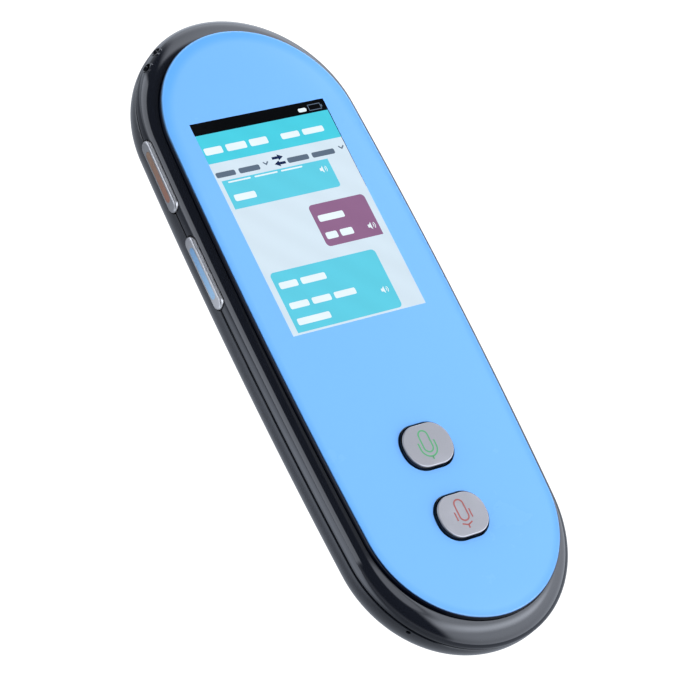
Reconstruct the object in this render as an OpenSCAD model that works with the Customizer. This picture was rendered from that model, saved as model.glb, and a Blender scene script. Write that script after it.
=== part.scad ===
// Handheld voice translator: a pill-shaped, two-shell housing with a glued front panel,
// a 2.4 inch class screen, two front talk keys and two side keys.
// It lies on its back. Origin: middle of the flat back face. X across, Y towards the screen end, Z up.

/* [Body] */
// Width of the rim beside the panel
rim_w = 2.7; // [2.6:0.1:4]
// Width of the rim at both ends
rim_end_w = 4.7; // [4.6:0.1:6]
// How much each long side swells out in the middle
body_bow = 1; // [0.5:0.5:2]
// Overall thickness, back face to panel face
body_t = 14; // [14:0.5:16]
// Height where the upright wall begins, above the belly
widest_z = 8.2; // [8:0.1:8.5]
// Height of the parting plane between the two shells
parting_z = 9; // [9:0.1:9.2]
// Radius of the front shoulder
shoulder_r = 3.2; // [3:0.1:3.4]
// Radius of the rounded belly
belly_r = 9.5; // [9:0.1:10.5]
// How far the front panel stands proud of the rim
panel_proud = 1.2; // [1:0.1:1.3]
// How far the back plate stands proud of the rear shell
plate_proud = 0.5; // [0.3:0.1:0.6]
// Shell wall
wall_t = 2; // [1.8:0.1:2]
// Height of the shadow groove on the parting line
groove_h = 0.4; // [0.3:0.1:0.6]
// Depth of the shadow groove
groove_d = 0.35; // [0.2:0.05:0.5]
// Chamfer on both lips of the groove
groove_lip = 0.15; // [0.1:0.05:0.2]
// Tongue of the rear shell that locates the front shell
tongue_t = 0.8; // [0.6:0.1:0.8]
// Height of the tongue
tongue_h = 0.9; // [0.6:0.1:1.2]

/* [Front panel] */
// Distance of each panel nose centre from the middle
panel_nose_y = 45; // [43:1:50]
// Panel width left over on each side of the display module
bezel_w = 4.8; // [4:0.1:6]
// Panel thickness
panel_t = 1.5; // [1.2:0.1:1.7]
// Rounding of the panel's upper edge
panel_edge_r = 0.5; // [0.3:0.1:1.1]
// Adhesive frame thickness
adhesive_t = 0.2; // [0.1:0.05:0.3]
// Adhesive frame width
adhesive_w = 2.8; // [2:0.1:2.9]
// Margin between the adhesive frame and the panel's edge
adhesive_margin = 0.4; // [0.2:0.1:0.5]
// Deck of the front shell that carries the panel
deck_t = 1.2; // [1:0.1:1.3]

/* [Back plate] */
// Distance of the back plate's edge inside the widest line of the body
back_margin = 4.6; // [4.4:0.1:5]
// Back plate thickness
back_t = 1.2; // [1:0.1:1.4]
// Rounding of the back plate's lower edge
back_edge_r = 0.5; // [0.3:0.1:0.8]
// Floor of the rear shell
floor_t = 1.2; // [1.1:0.1:1.3]

/* [Screen] */
// Display module width
display_w = 37; // [33:0.5:42]
// Display module length
display_l = 57; // [50:0.5:58]
// Display module thickness
display_t = 2; // [1.8:0.1:2]
// Steel plate behind the display
display_plate_t = 0.2; // [0.1:0.05:0.2]
// How far the display module reaches past the upper nose centre
display_rise = 5.1; // [3:0.1:5.2]
// Clearance round the display in its window
display_gap = 0.3; // [0.2:0.1:0.4]

/* [Talk keys] */
// Key width
talk_w = 12; // [11.5:0.5:13]
// Key height along the body
talk_l = 9.6; // [9:0.2:10]
// Corner radius of the key
talk_r = 4.4; // [3.5:0.1:4.5]
// How far the key stands proud of the panel
talk_proud = 0.9; // [0.6:0.1:1.2]
// Travel of the key
talk_travel = 0.4; // [0.2:0.05:0.4]
// Clearance round the key in the panel
talk_gap = 0.3; // [0.2:0.05:0.4]
// Metal face plate thickness
talk_face_t = 0.4; // [0.3:0.1:0.6]
// Retaining lip width round the key
talk_lip_w = 1; // [0.8:0.1:1.2]
// Retaining lip thickness
talk_lip_t = 0.6; // [0.5:0.1:0.6]
// Distance between the two talk keys
talk_pitch = 15.8; // [13:0.1:16.5]
// How far the lower talk key lies past the lower nose centre
talk_drop = 1.5; // [0:0.1:3]

/* [Side keys] */
// Side key length
side_l = 16.6; // [15:0.2:16.8]
// Side key height
side_h = 3.1; // [3:0.1:3.4]
// How far the side keys stand proud of the wall
side_proud = 0.5; // [0.5:0.1:1]
// Rounding of the side key's edge
side_edge_r = 0.5; // [0.3:0.1:0.6]
// Travel of the side keys
side_travel = 0.4; // [0.2:0.05:0.4]
// Clearance round a side key in its slot
side_gap = 0.25; // [0.2:0.05:0.3]
// Height of the side keys' centre line
side_z = 9.4; // [9.2:0.1:9.4]
// Distance of the upper side key below the upper nose centre
side_drop = 6.2; // [6:0.2:10]
// Distance between the two side keys
side_pitch = 22.6; // [21:0.1:24]
// Length of the coloured inlay
inlay_l = 11.8; // [8:0.2:12]
// Width of the coloured inlay
inlay_w = 1.7; // [1.4:0.1:1.8]
// Thickness of the coloured inlay
inlay_t = 0.3; // [0.2:0.05:0.4]

/* [Openings] */
// Microphone hole diameter
mic_hole_d = 1; // [0.6:0.1:1.2]
// Direction of the microphone hole from the lower nose centre
mic_angle = 220.8; // [217:0.2:224]
// Height of the microphone hole
mic_z = 8; // [7.6:0.1:8]
// Width of one strap hole along the rim
strap_w = 2.6; // [2:0.1:2.8]
// Height of one strap hole
strap_h = 1.4; // [1.2:0.1:1.5]
// Distance between the two strap holes
strap_pitch = 5.1; // [4.6:0.1:5.3]
// Direction of the strap eyelet from the upper nose centre
strap_angle = 130.8; // [128:0.2:133]
// Height of the strap holes
strap_z = 11.1; // [11:0.1:11.2]
// Sound hole diameter in the back plate
grille_d = 1.2; // [0.8:0.1:1.4]
// Pitch of the sound holes
grille_pitch = 2.3; // [2.1:0.1:2.4]
// Sound holes across
grille_columns = 9; // [5:2:9]
// Sound holes along
grille_rows = 3; // [3:2:3]

/* [Charging socket] */
// Socket shell width
usb_w = 8.9; // [8.8:0.05:9]
// Socket shell height
usb_h = 3.2; // [3.1:0.05:3.3]
// Socket shell length
usb_l = 7.3; // [6.8:0.1:7.6]
// Socket shell wall
usb_wall = 0.3; // [0.2:0.05:0.35]
// How far the socket mouth lies inside the end of the body
usb_recess = 0.9; // [0.8:0.1:1.2]
// Clearance round the socket in the shell
usb_gap = 0.25; // [0.2:0.05:0.3]

/* [Inside] */
// Main board thickness
board_t = 1; // [0.8:0.1:1]
// Height of the main board's underside
board_z = 7.9; // [7.8:0.1:7.9]
// Distance of the main board's edge inside the widest line of the body
board_margin = 5; // [4.8:0.1:6]
// Room between the battery and the widest line of the body, on each side
battery_side_room = 9.5; // [9.5:0.5:12]
// Battery length
battery_l = 54; // [48:1:56]
// Battery thickness
battery_t = 4.2; // [3.6:0.1:4.4]
// Foam and gasket thickness
foam_t = 0.3; // [0.2:0.05:0.4]
// Speaker width
speaker_w = 30; // [26:1:30]
// Speaker length along the body
speaker_l = 18; // [16:1:18]
// Speaker thickness
speaker_t = 4; // [3.5:0.1:4.3]
// Distance of the speaker's centre from the lower nose centre
speaker_rise = 4; // [3:0.5:6]
// Housing screw shank diameter
screw_d = 1.6; // [1.4:0.1:1.7]
// Housing screw head diameter
screw_head_d = 2.8; // [2.5:0.1:2.8]
// Housing screw head height
screw_head_t = 0.8; // [0.6:0.1:0.8]
// Screw boss diameter
boss_d = 4; // [4:0.1:4.6]
// Board screw shank diameter
board_screw_d = 1.2; // [1:0.1:1.3]
// Free space left round a part that only has to drop in
fit_gap = 0.15; // [0.1:0.05:0.2]

/* [Hidden] */

// Smoothness of the small and the large curves
fine = 32;
round_end = 96;
long_arc = 720;

// Clearance round the tongue of the rear shell
tongue_gap = 0.1;

// Heights of the stack, from the back face up
back_floor_z = back_t + adhesive_t;
cavity_z = back_floor_z + floor_t;
rim_top_z = body_t - panel_proud;
shoulder_z = rim_top_z - shoulder_r;
panel_z = body_t - panel_t;
deck_top_z = panel_z - adhesive_t;
deck_z = deck_top_z - deck_t;
board_top_z = board_z + board_t;
display_z = panel_z - display_t;
display_plate_z = display_z - display_plate_t;
display_plate_r = 1;
display_plate_frame = 6;
display_plate_cut = 9;
display_plate_cut_r = 2;
battery_z = cavity_z + foam_t;

// Outlines, from the display outwards: four arcs that meet tangentially, see outline()
panel_nose_r = display_w / 2 + bezel_w;
body_nose_r = panel_nose_r + rim_w;
body_nose_y = panel_nose_y + rim_end_w - rim_w;
body_side_r = arc_centre(body_nose_y, body_bow) + body_bow + body_nose_r;
back_nose_r = body_nose_r - back_margin;
board_nose_r = body_nose_r - board_margin;
// Overlap of two pieces of one solid, and how far a cut runs past what it cuts
merge = 0.1;
past = 1;
// A swept profile starts this far past the nose centre, so that its middle is full
fill_x = -2;

// Places along the body
display_y = panel_nose_y + display_rise - display_l / 2;
display_low_y = display_y - display_l / 2;
talk_lower_y = -panel_nose_y - talk_drop;
talk_upper_y = talk_lower_y + talk_pitch;
side_upper_y = body_nose_y - side_drop;
side_lower_y = side_upper_y - side_pitch;
battery_y = body_nose_y - battery_l / 2;
battery_low_y = battery_y - battery_l / 2;
speaker_y = -body_nose_y + speaker_rise;

// Housing screws: two on each nose, and one on each side below the battery
// All of them lie under the back plate
screw_margin = 2.4;
screw_angle = 30;
screw_side_margin = 6.5;
screw_drop = 5;
screw_x = (back_nose_r - screw_margin) * cos(screw_angle);
screw_y = panel_nose_y + (back_nose_r - screw_margin) * sin(screw_angle);
screw_mid_y = battery_low_y - screw_drop;
screw_mid_x = half_width(screw_mid_y) - screw_side_margin;
screw_places = [
    [screw_x, screw_y], [-screw_x, screw_y], [screw_mid_x, screw_mid_y],
    [-screw_mid_x, screw_mid_y], [screw_x, -screw_y], [-screw_x, -screw_y]
];
screw_play = 0.1;
screw_seat_z = back_floor_z + screw_play + screw_head_t;
screw_cover_t = 0.9;
screw_tip_z = deck_z - screw_cover_t;
screw_tip_room = 0.3;
screw_socket_d = 1.5;
screw_socket_t = 0.4;
boss_joint_z = board_z;
thread_gap = 0.02;

// Board screws: two at the screen end, two beside the keys and one at the other end
board_screw_x = 13;
board_screw_y = body_nose_y + board_screw_x;
board_screw_spread = 3.5;
board_screw_drop = 8;
board_screw_reach = 14;
board_screw_side_x = screw_mid_x - boss_d / 2 - board_screw_spread;
board_screw_side_y = screw_mid_y - board_screw_drop;
board_screw_low_y = -body_nose_y - board_screw_reach;
board_places = [
    [board_screw_x, board_screw_y], [-board_screw_x, board_screw_y],
    [board_screw_side_x, board_screw_side_y], [-board_screw_side_x, board_screw_side_y],
    [0, board_screw_low_y]
];
board_screw_head_d = 2 * board_screw_d;
board_screw_head_t = 0.6;
board_screw_cover_t = 0.6;
board_screw_tip_z = deck_z - board_screw_cover_t;
board_screw_room = 0.2;
board_boss_d = 3.2;

// Talk keys
talk_lip_gap = 0.1;
talk_lip_top_z = deck_z - talk_lip_gap;
talk_lip_z = talk_lip_top_z - talk_lip_t;
talk_top_z = body_t + talk_proud;
talk_stop_gap = 0.05;
talk_face_inset = 0.25;
talk_face_edge_r = 0.2;
talk_switch_w = 4.5;
talk_switch_t = 0.7;
talk_switch_r = 0.5;
talk_actuator_d = 2;
talk_actuator_t = 0.3;
talk_switch_top_z = board_top_z + talk_switch_t + talk_actuator_t;
talk_plunger_z = talk_switch_top_z + talk_travel + talk_stop_gap;
talk_plunger_d = 3;

// Side keys: local frame with its origin on the wall, +X inwards
side_lip_gap = 0.1;
side_lip_t = 0.8;
side_lip_over = 1.2;
side_lip_h = side_h - 0.4;
side_lip_x = wall_t + side_lip_gap;
side_nub_l = 0.5;
side_nub_x = side_lip_x + side_lip_t;
side_stop_gap = 0.05;
inlay_gap = 0.02;
side_actuator_t = 0.3;
side_switch_t = 0.9;
side_switch_x = side_nub_x + side_nub_l + side_travel + side_stop_gap + side_actuator_t;
side_flex_gap = 0.01;
side_flex_x = side_switch_x + side_switch_t + side_flex_gap;
side_flex_t = 0.2;
side_rib_x = side_flex_x + side_flex_t + 2 * side_flex_gap;
side_rib_t = 1;
side_pad_l = 12;
side_pad_h = 2.8;

side_rib_gap = 0.1;
side_switch_w = 4;
side_switch_h = 2.4;
side_actuator_d = 1.4;
side_nub_d = 1.8;
// Inner corner of the bay that the ribs and the flex take out of the main board
side_bay_x = key_point(side_upper_y, side_rib_x + side_rib_t, side_pad_l / 2).x + side_rib_gap;
side_bay_room = 1.5;

// Microphone
mic_d = 3;
mic_l = 1.8;
mic_boot_wall = 0.6;
mic_boot_room = 1.2;
mic_spigot_l = 1;
mic_spigot_wall = 0.8;
mic_wall_gap = 0.25;
mic_front_r = body_nose_r - wall_t - mic_wall_gap - mic_spigot_l;

// Strap eyelet: a level half ring whose two ends open on the rounded shoulder
strap_rise = strap_z - shoulder_z;
strap_r = body_nose_r - shoulder_r + sqrt(shoulder_r * shoulder_r - strap_rise * strap_rise);
strap_block_span = 32;
strap_block_t = 4.1;
strap_block_z = parting_z + tongue_h + tongue_gap;

// Charging socket
usb_z = board_z - usb_h / 2;
usb_mouth_y = body_nose_y + body_nose_r - usb_recess;
usb_port_start_y = body_nose_y + body_nose_r - wall_t - 1.6;
usb_tongue_w = 6.2;
usb_tongue_t = 0.7;
usb_tongue_recess = 0.8;

// Battery: its pouch edge and its flat lead
battery_w = 2 * (body_nose_r + body_bow - battery_side_room);
battery_corner_r = 1.2;
battery_seam_w = 1.5;
battery_seam_t = 1.6;
battery_pad_margin = 2;
lead_x = 12.4;
lead_w = 4.2;
lead_t = 0.2;

// Fences that keep the battery and the speaker in place
fence_t = 0.8;
fence_gap = fit_gap + 0.1;
fence_corner_l = 6;
battery_fence_h = 2;
speaker_fence_h = 1.6;

// Speaker outlet, with two bars left standing in it
outlet_margin = 0.6;
outlet_w = (grille_columns - 1) * grille_pitch + grille_d + 2 * outlet_margin;
outlet_l = (grille_rows - 1) * grille_pitch + grille_d + 2 * outlet_margin;
outlet_bar_t = 1.2;
outlet_r = 0.8;
mesh_margin = 0.5;
speaker_mouth_w = outlet_w + 0.4;
speaker_mouth_l = outlet_l + 3;
speaker_mouth_t = 0.5;
speaker_magnet_d = 12;
speaker_magnet_t = 0.3;
speaker_r = 2;

// Ribs under the deck, between and beside the talk keys
deck_rib_t = 0.8;
deck_rib_h = 0.9;
deck_rib_x = talk_w / 2 + talk_lip_w + 3;
deck_rib_low_y = talk_lower_y - talk_l / 2 - talk_lip_w - 2.5;
deck_rib_high_y = talk_upper_y + talk_l / 2 + talk_lip_w + 3.2;

// Antenna strip, stuck under the deck on the screen end
antenna_w = 2.6;
antenna_t = 0.2;
antenna_margin = 4.7;
antenna_r = body_nose_r - antenna_margin - antenna_w;
antenna_start = 52;
antenna_span = 52;

// Chips and shield cans: [x, distance from the display's centre, width, length]
chip_t = 0.8;
chip_list = [[-3, 11.4, 13, 13], [8.5, 12.4, 8, 11], [-5, -13.6, 7, 7], [5, -12.6, 6, 8]];
can_list = [[1, 11.4, 28, 18], [0, -13.1, 22, 14]];
can_gap = 0.1;
can_h = display_plate_z - can_gap - board_top_z;
can_wall = 0.2;
can_r = 0.8;

// Display flex, from the display's plate round to its connector
flex_w = 14;
flex_t = 0.15;
flex_overlap = 4;
flex_reach = 3;
flex_bend = 0.5;
flex_tail = 2.2;

// Board connectors
connector_t = 0.8;
display_plug_w = 16;
display_plug_l = 2.6;
display_plug_y = display_low_y - 1.9;
side_plug_w = 4;
side_plug_l = 2.2;
side_plug_x = side_bay_x + 1.7;
side_plug_drop = 14;
battery_plug_w = 5;
battery_plug_l = 2.4;
battery_plug_drop = 4;

// Distance of a side arc's centre from the middle line, for nose centres at y = +-nose_y
function arc_centre(nose_y, bow) = (nose_y * nose_y - bow * bow) / (2 * bow);

// Half width of the body at height y along it, on its widest line
function half_width(y) = sqrt(body_side_r * body_side_r - y * y) - arc_centre(body_nose_y, body_bow);

// Angle by which the wall leans over at y
function wall_angle(y) = asin(y / body_side_r);

// A point of a side key's local frame, in plan
function key_point(y, px, py) = [
    -half_width(y) + px * cos(wall_angle(y)) + py * sin(wall_angle(y)),
    y - px * sin(wall_angle(y)) + py * cos(wall_angle(y))
];

// Sweeps a 2D profile round the pill outline. The profile's X runs out from a nose centre, its Y is height.
// Two nose arcs and two long side arcs share their end planes, so the four sweeps meet face to face.
module outline(nose_y, bow) {
    centre_x = arc_centre(nose_y, bow);
    sweep_r = centre_x + bow;
    reach = 100;
    // A point on the shared end plane, one tenth of the way to the far arc centre
    edge = [centre_x / 10, nose_y * 1.1];
    for (s = [1, -1])
        intersection() {
            translate([0, s * nose_y, 0])
                rotate_extrude($fn = round_end)
                    intersection() {
                        children();
                        translate([0, -reach]) square([reach, 2 * reach]);
                    }
            linear_extrude(reach, center = true)
                polygon([
                    [0, s * nose_y], [edge.x, s * edge.y], [edge.x, s * reach],
                    [-edge.x, s * reach], [-edge.x, s * edge.y]
                ]);
        }
    for (turn = [0, 180])
        rotate([0, 0, turn])
            intersection() {
                translate([-centre_x, 0, 0])
                    rotate_extrude(angle = 8, start = -4, $fn = long_arc)
                        translate([sweep_r, 0]) children();
                linear_extrude(reach, center = true)
                    polygon([[0, -nose_y], [edge.x, -edge.y], [edge.x, edge.y], [0, nose_y]]);
            }
}

// Rectangle of a swept profile from x0 to x1; a negative x0 reaches past the nose centre to fill the middle
module band(x0, x1, z0, z1) {
    translate([x0, z0]) square([x1 - x0, z1 - z0]);
}

// Body section between z0 and z1, drawn inwards by t: belly, upright wall and shoulder
module body_section(z0, z1, t) {
    shoulder_x = body_nose_r - shoulder_r;
    belly_x = body_nose_r - belly_r;
    intersection() {
        band(fill_x, body_nose_r, z0, z1);
        union() {
            translate([shoulder_x, shoulder_z]) circle(shoulder_r - t, $fn = round_end);
            band(fill_x, shoulder_x, widest_z, body_t);
            band(fill_x, body_nose_r - t, widest_z, shoulder_z);
            intersection() {
                translate([belly_x, widest_z]) circle(belly_r - t, $fn = round_end);
                band(belly_x, body_nose_r, 0, shoulder_z);
            }
            band(fill_x, belly_x, 0, shoulder_z);
        }
    }
}

// One half of the shadow groove in a swept profile: side 1 is above the parting plane, -1 below it
module groove_half(side) {
    x = body_nose_r;
    lip_z = parting_z + side * groove_h / 2;
    polygon([
        [x - groove_d, parting_z - side * merge], [x - groove_d, lip_z], [x - groove_lip, lip_z],
        [x + past, lip_z + side * (groove_lip + past)], [x + past, parting_z - side * merge]
    ]);
}

// Plain block inside a filled plate, so that its sweeps are joined across the planes where they meet
module core(z0, z1) {
    core_w = panel_nose_r;
    core_l = 2 * panel_nose_y + panel_nose_r;
    skin = (z1 - z0) / 4;
    translate([-core_w / 2, -core_l / 2, z0 + skin]) cube([core_w, core_l, z1 - z0 - 2 * skin]);
}

// Plan of a rectangle w by l with corner radius r, centred
module rounded_rect(w, l, r) {
    square([w - 2 * r, l], center = true);
    if (l > 2 * r) square([w, l - 2 * r], center = true);
    for (x = [-1, 1], y = (l > 2 * r) ? [-1, 1] : [0])
        translate([x * (w / 2 - r), y * (l / 2 - r)]) circle(r, $fn = fine);
}

// Half section of a cap: r wide, h high, upper edge rounded by f
module cap_profile(r, h, f) {
    square([r - f, h]);
    square([r, h - f]);
    intersection() {
        translate([r - f, h - f]) circle(f, $fn = fine);
        square([r, h]);
    }
}

// Rounded rectangle w by l, corner radius r, h high, with its upper edge rounded by f
module cap(w, l, r, h, f) {
    for (x = [-1, 1], y = (l > 2 * r) ? [-1, 1] : [0])
        translate([x * (w / 2 - r), y * (l / 2 - r), 0])
            rotate_extrude($fn = round_end) cap_profile(r, h, f);
    for (turn = [0, 180])
        rotate([0, 0, turn]) {
            if (l > 2 * r)
                rotate([90, 0, 0])
                    linear_extrude(l - 2 * r, center = true)
                        translate([w / 2 - r, 0]) cap_profile(r, h, f);
            if (w > 2 * r)
                rotate([90, 0, 90])
                    linear_extrude(w - 2 * r, center = true)
                        translate([l / 2 - r, 0]) cap_profile(r, h, f);
        }
    if (l > 2 * r) translate([-(w / 2 - r), -(l / 2 - r), 0]) cube([w - 2 * r, l - 2 * r, h]);
}

// Places a part in the local frame of the side key at y: origin on the wall, +X inwards
module at_side_key(y) {
    translate([-half_width(y), y, side_z]) rotate([0, 0, -wall_angle(y)]) children();
}

// Places a part at the direction angle from a nose centre, +X outwards
module at_nose(nose_y, angle, r, z) {
    translate([0, nose_y, 0]) rotate([0, 0, angle]) translate([r, 0, z]) children();
}

// Holes for both talk keys, grown by gap
module talk_holes(gap, z0, z1) {
    for (y = [talk_upper_y, talk_lower_y])
        translate([0, y, z0])
            linear_extrude(z1 - z0)
                rounded_rect(talk_w + 2 * gap, talk_l + 2 * gap, talk_r + gap);
}

// Slots and lip pockets for both side keys
module side_key_cuts() {
    slot_l = side_l + 2 * side_gap;
    slot_h = side_h + 2 * side_gap;
    slot_start = side_proud + past;
    pocket_gap = 0.5;
    pocket_l = side_l + 2 * (side_lip_over + pocket_gap);
    pocket_x = side_lip_x - side_lip_gap;
    pocket_low = side_lip_h / 2 + pocket_gap;
    for (y = [side_upper_y, side_lower_y])
        at_side_key(y) {
            translate([-slot_start, 0, 0])
                rotate([90, 0, 90])
                    linear_extrude(slot_start + pocket_x + side_travel + side_stop_gap + side_gap)
                        rounded_rect(slot_l, slot_h, slot_h / 2);
            translate([pocket_x, -pocket_l / 2, -pocket_low])
                cube([side_lip_t + side_travel + past, pocket_l, pocket_low + deck_z - side_z]);
        }
}

module strap_tunnel() {
    at_nose(body_nose_y, strap_angle, strap_r, strap_z)
        rotate_extrude($fn = round_end)
            translate([strap_pitch / 2, 0]) rounded_rect(strap_w, strap_h, strap_h / 2);
}

module front_panel() color("#82c8ff")
    difference() {
        union() {
            core(panel_z, body_t);
            outline(panel_nose_y, body_bow)
                union() {
                    band(fill_x, panel_nose_r, panel_z, body_t - panel_edge_r);
                    band(fill_x, panel_nose_r - panel_edge_r, panel_z, body_t);
                    intersection() {
                        translate([panel_nose_r - panel_edge_r, body_t - panel_edge_r])
                            circle(panel_edge_r, $fn = fine);
                        band(0, panel_nose_r, panel_z, body_t);
                    }
                }
        }
        talk_holes(talk_gap, panel_z - past, body_t + past);
    }

module panel_adhesive() color("#20242a") {
    edge_r = panel_nose_r - adhesive_margin;
    outline(panel_nose_y, body_bow) band(edge_r - adhesive_w, edge_r, deck_top_z, panel_z);
}

module front_housing() color("#23262c")
    difference() {
        union() {
            difference() {
                outline(body_nose_y, body_bow)
                    difference() {
                        body_section(parting_z, rim_top_z, 0);
                        body_section(parting_z - past, deck_z, wall_t);
                        band(
                            0, body_nose_r - wall_t + tongue_t + tongue_gap,
                            parting_z - past, parting_z + tongue_h + tongue_gap
                        );
                        groove_half(1);
                    }
                outline(panel_nose_y, body_bow)
                    band(fill_x, panel_nose_r + fit_gap, deck_top_z, body_t + past);
                side_key_cuts();
            }
            strap_block();
            front_bosses();
            side_ribs();
            deck_ribs();
        }
        translate([0, display_y, deck_z - past])
            linear_extrude(deck_t + 2 * past)
                square([display_w + 2 * display_gap, display_l + 2 * display_gap], center = true);
        talk_holes(talk_gap, deck_z - past, deck_top_z + past);
        strap_tunnel();
        for (p = screw_places)
            pilot_hole(p, boss_joint_z, screw_tip_z + screw_tip_room, screw_d + 2 * thread_gap);
        for (p = board_places)
            pilot_hole(p, board_top_z, board_screw_tip_z + board_screw_room, board_screw_d + 2 * thread_gap);
    }

// Round hole at place p from z0, where it opens, up to z1
module pilot_hole(p, z0, z1, d) {
    translate([p.x, p.y, z0 - past]) cylinder(h = z1 - z0 + past, r = d / 2, $fn = fine);
}

// Solid corner behind the strap eyelet
module strap_block() {
    translate([0, body_nose_y, strap_block_z])
        rotate_extrude(angle = strap_block_span, start = strap_angle - strap_block_span / 2, $fn = round_end)
            translate([body_nose_r - wall_t - strap_block_t + merge, 0])
                square([strap_block_t, deck_z + merge - strap_block_z]);
}

module front_bosses() {
    for (p = screw_places)
        translate([p.x, p.y, boss_joint_z])
            cylinder(h = deck_z + merge - boss_joint_z, r = boss_d / 2, $fn = fine);
    for (p = board_places)
        translate([p.x, p.y, board_top_z])
            cylinder(h = deck_z + merge - board_top_z, r = board_boss_d / 2, $fn = fine);
}

// Ribs that back up the side key switches
module side_ribs() {
    for (y = [side_upper_y, side_lower_y])
        at_side_key(y)
            translate([side_rib_x, -side_pad_l / 2, -side_pad_h / 2])
                cube([side_rib_t, side_pad_l, deck_z + merge - side_z + side_pad_h / 2]);
}

// Stiffening ribs under the deck
module deck_ribs() {
    for (x = [-deck_rib_x, deck_rib_x])
        translate([x - deck_rib_t / 2, deck_rib_low_y, deck_z - deck_rib_h])
            cube([deck_rib_t, deck_rib_high_y - deck_rib_low_y, deck_rib_h + merge]);
    for (y = [deck_rib_low_y, (talk_upper_y + talk_lower_y) / 2, deck_rib_high_y])
        translate([-deck_rib_x, y - deck_rib_t / 2, deck_z - deck_rib_h])
            cube([2 * deck_rib_x, deck_rib_t, deck_rib_h + merge]);
}

module rear_housing() color("#1d2026")
    difference() {
        union() {
            difference() {
                outline(body_nose_y, body_bow)
                    difference() {
                        union() {
                            body_section(plate_proud, parting_z, 0);
                            band(
                                body_nose_r - wall_t, body_nose_r - wall_t + tongue_t,
                                parting_z - 2 * merge, parting_z + tongue_h
                            );
                        }
                        body_section(cavity_z, parting_z + past, wall_t);
                        groove_half(-1);
                    }
                outline(panel_nose_y, body_bow)
                    band(fill_x, back_nose_r + fit_gap, -past, back_floor_z);
                side_key_cuts();
            }
            for (p = screw_places)
                translate([p.x, p.y, cavity_z - merge])
                    cylinder(h = boss_joint_z - cavity_z + merge, r = boss_d / 2, $fn = fine);
            floor_fence(battery_w, battery_l, battery_y, battery_fence_h);
            floor_fence(speaker_w, speaker_l, speaker_y, speaker_fence_h);
        }
        for (p = screw_places) {
            pilot_hole(p, back_floor_z, screw_seat_z, screw_head_d + 2 * screw_play);
            pilot_hole(p, back_floor_z, boss_joint_z + past, screw_d + 2 * screw_play);
        }
        sound_outlet();
        at_nose(-body_nose_y, mic_angle, mic_front_r, mic_z)
            rotate([0, 90, 0]) cylinder(h = mic_spigot_l + wall_t + past, r = mic_hole_d / 2, $fn = fine);
        usb_port();
    }

// Opening in the floor under the speaker, in three bays
module sound_outlet() {
    bay_w = (outlet_w - 2 * outlet_bar_t) / 3;
    for (i = [-1, 0, 1])
        translate([i * (bay_w + outlet_bar_t), speaker_y, back_floor_z - past])
            linear_extrude(floor_t + 2 * past) rounded_rect(bay_w, outlet_l, outlet_r);
}

// Low corner fences on the floor that keep a drop-in part w by l in place
module floor_fence(w, l, y, h) {
    in_w = w + 2 * fence_gap;
    in_l = l + 2 * fence_gap;
    out_w = in_w + 2 * fence_t;
    out_l = in_l + 2 * fence_t;
    translate([0, y, cavity_z - merge])
        linear_extrude(h + merge)
            difference() {
                square([out_w, out_l], center = true);
                square([in_w, in_l], center = true);
                square([out_w + 2 * past, l - 2 * fence_corner_l], center = true);
                square([w - 2 * fence_corner_l, out_l + 2 * past], center = true);
            }
}

// Port for the charging socket through the end of the shell
module usb_port() {
    port_l = body_nose_y + body_nose_r + past - usb_port_start_y;
    translate([0, usb_port_start_y, usb_z])
        rotate([-90, 0, 0])
            linear_extrude(port_l)
                rounded_rect(usb_w + 2 * usb_gap, usb_h + 2 * usb_gap, usb_h / 2 + usb_gap);
}

module back_adhesive() color("#3a3f46")
    difference() {
        outline(panel_nose_y, body_bow) band(fill_x, back_nose_r - 2 * adhesive_margin, back_t, back_floor_z);
        translate([0, speaker_y, 0])
            linear_extrude(cavity_z) mesh_outline(fit_gap);
    }

module back_plate() color("#17191d")
    difference() {
        union() {
            core(0, back_t);
            outline(panel_nose_y, body_bow)
                union() {
                    band(fill_x, back_nose_r, back_edge_r, back_t);
                    band(fill_x, back_nose_r - back_edge_r, 0, back_t);
                    intersection() {
                        translate([back_nose_r - back_edge_r, back_edge_r]) circle(back_edge_r, $fn = fine);
                        band(0, back_nose_r, 0, back_t);
                    }
                }
        }
        for (i = [0 : grille_columns - 1], j = [0 : grille_rows - 1])
            translate([
                (i - (grille_columns - 1) / 2) * grille_pitch,
                speaker_y + (j - (grille_rows - 1) / 2) * grille_pitch, -past
            ])
                cylinder(h = back_t + 2 * past, r = grille_d / 2, $fn = fine);
    }

module display_module() color("#11151c")
    translate([0, display_y, display_z])
        linear_extrude(display_t) square([display_w, display_l], center = true);

module display_backplate() color("#b9bec6")
    translate([0, display_y, display_plate_z])
        linear_extrude(display_plate_t)
            difference() {
                rounded_rect(display_w, display_l, display_plate_r);
                for (y = [-1, 1])
                    translate([0, y * display_l / 4])
                        rounded_rect(display_w - 2 * display_plate_frame, display_plate_cut, display_plate_cut_r);
            }

// Display flex: off the module's lower edge, back under it and down to its connector
module display_flex() color("#c98b3a") {
    plug_z = board_top_z + connector_t;
    end_y = display_low_y + flex_overlap;
    reach_y = display_low_y - flex_reach;
    translate([-flex_w / 2, 0, 0])
        rotate([90, 0, 90])
            linear_extrude(flex_w)
                polygon([
                    [end_y, display_plate_z], [reach_y, display_plate_z],
                    [reach_y - flex_bend, plug_z + 2 * flex_t], [reach_y - flex_bend, plug_z],
                    [reach_y + flex_tail, plug_z], [reach_y + flex_tail, plug_z + flex_t],
                    [reach_y - flex_bend / 2, plug_z + flex_t], [reach_y + flex_bend / 2, display_plate_z - flex_t],
                    [end_y, display_plate_z - flex_t]
                ]);
}

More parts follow.
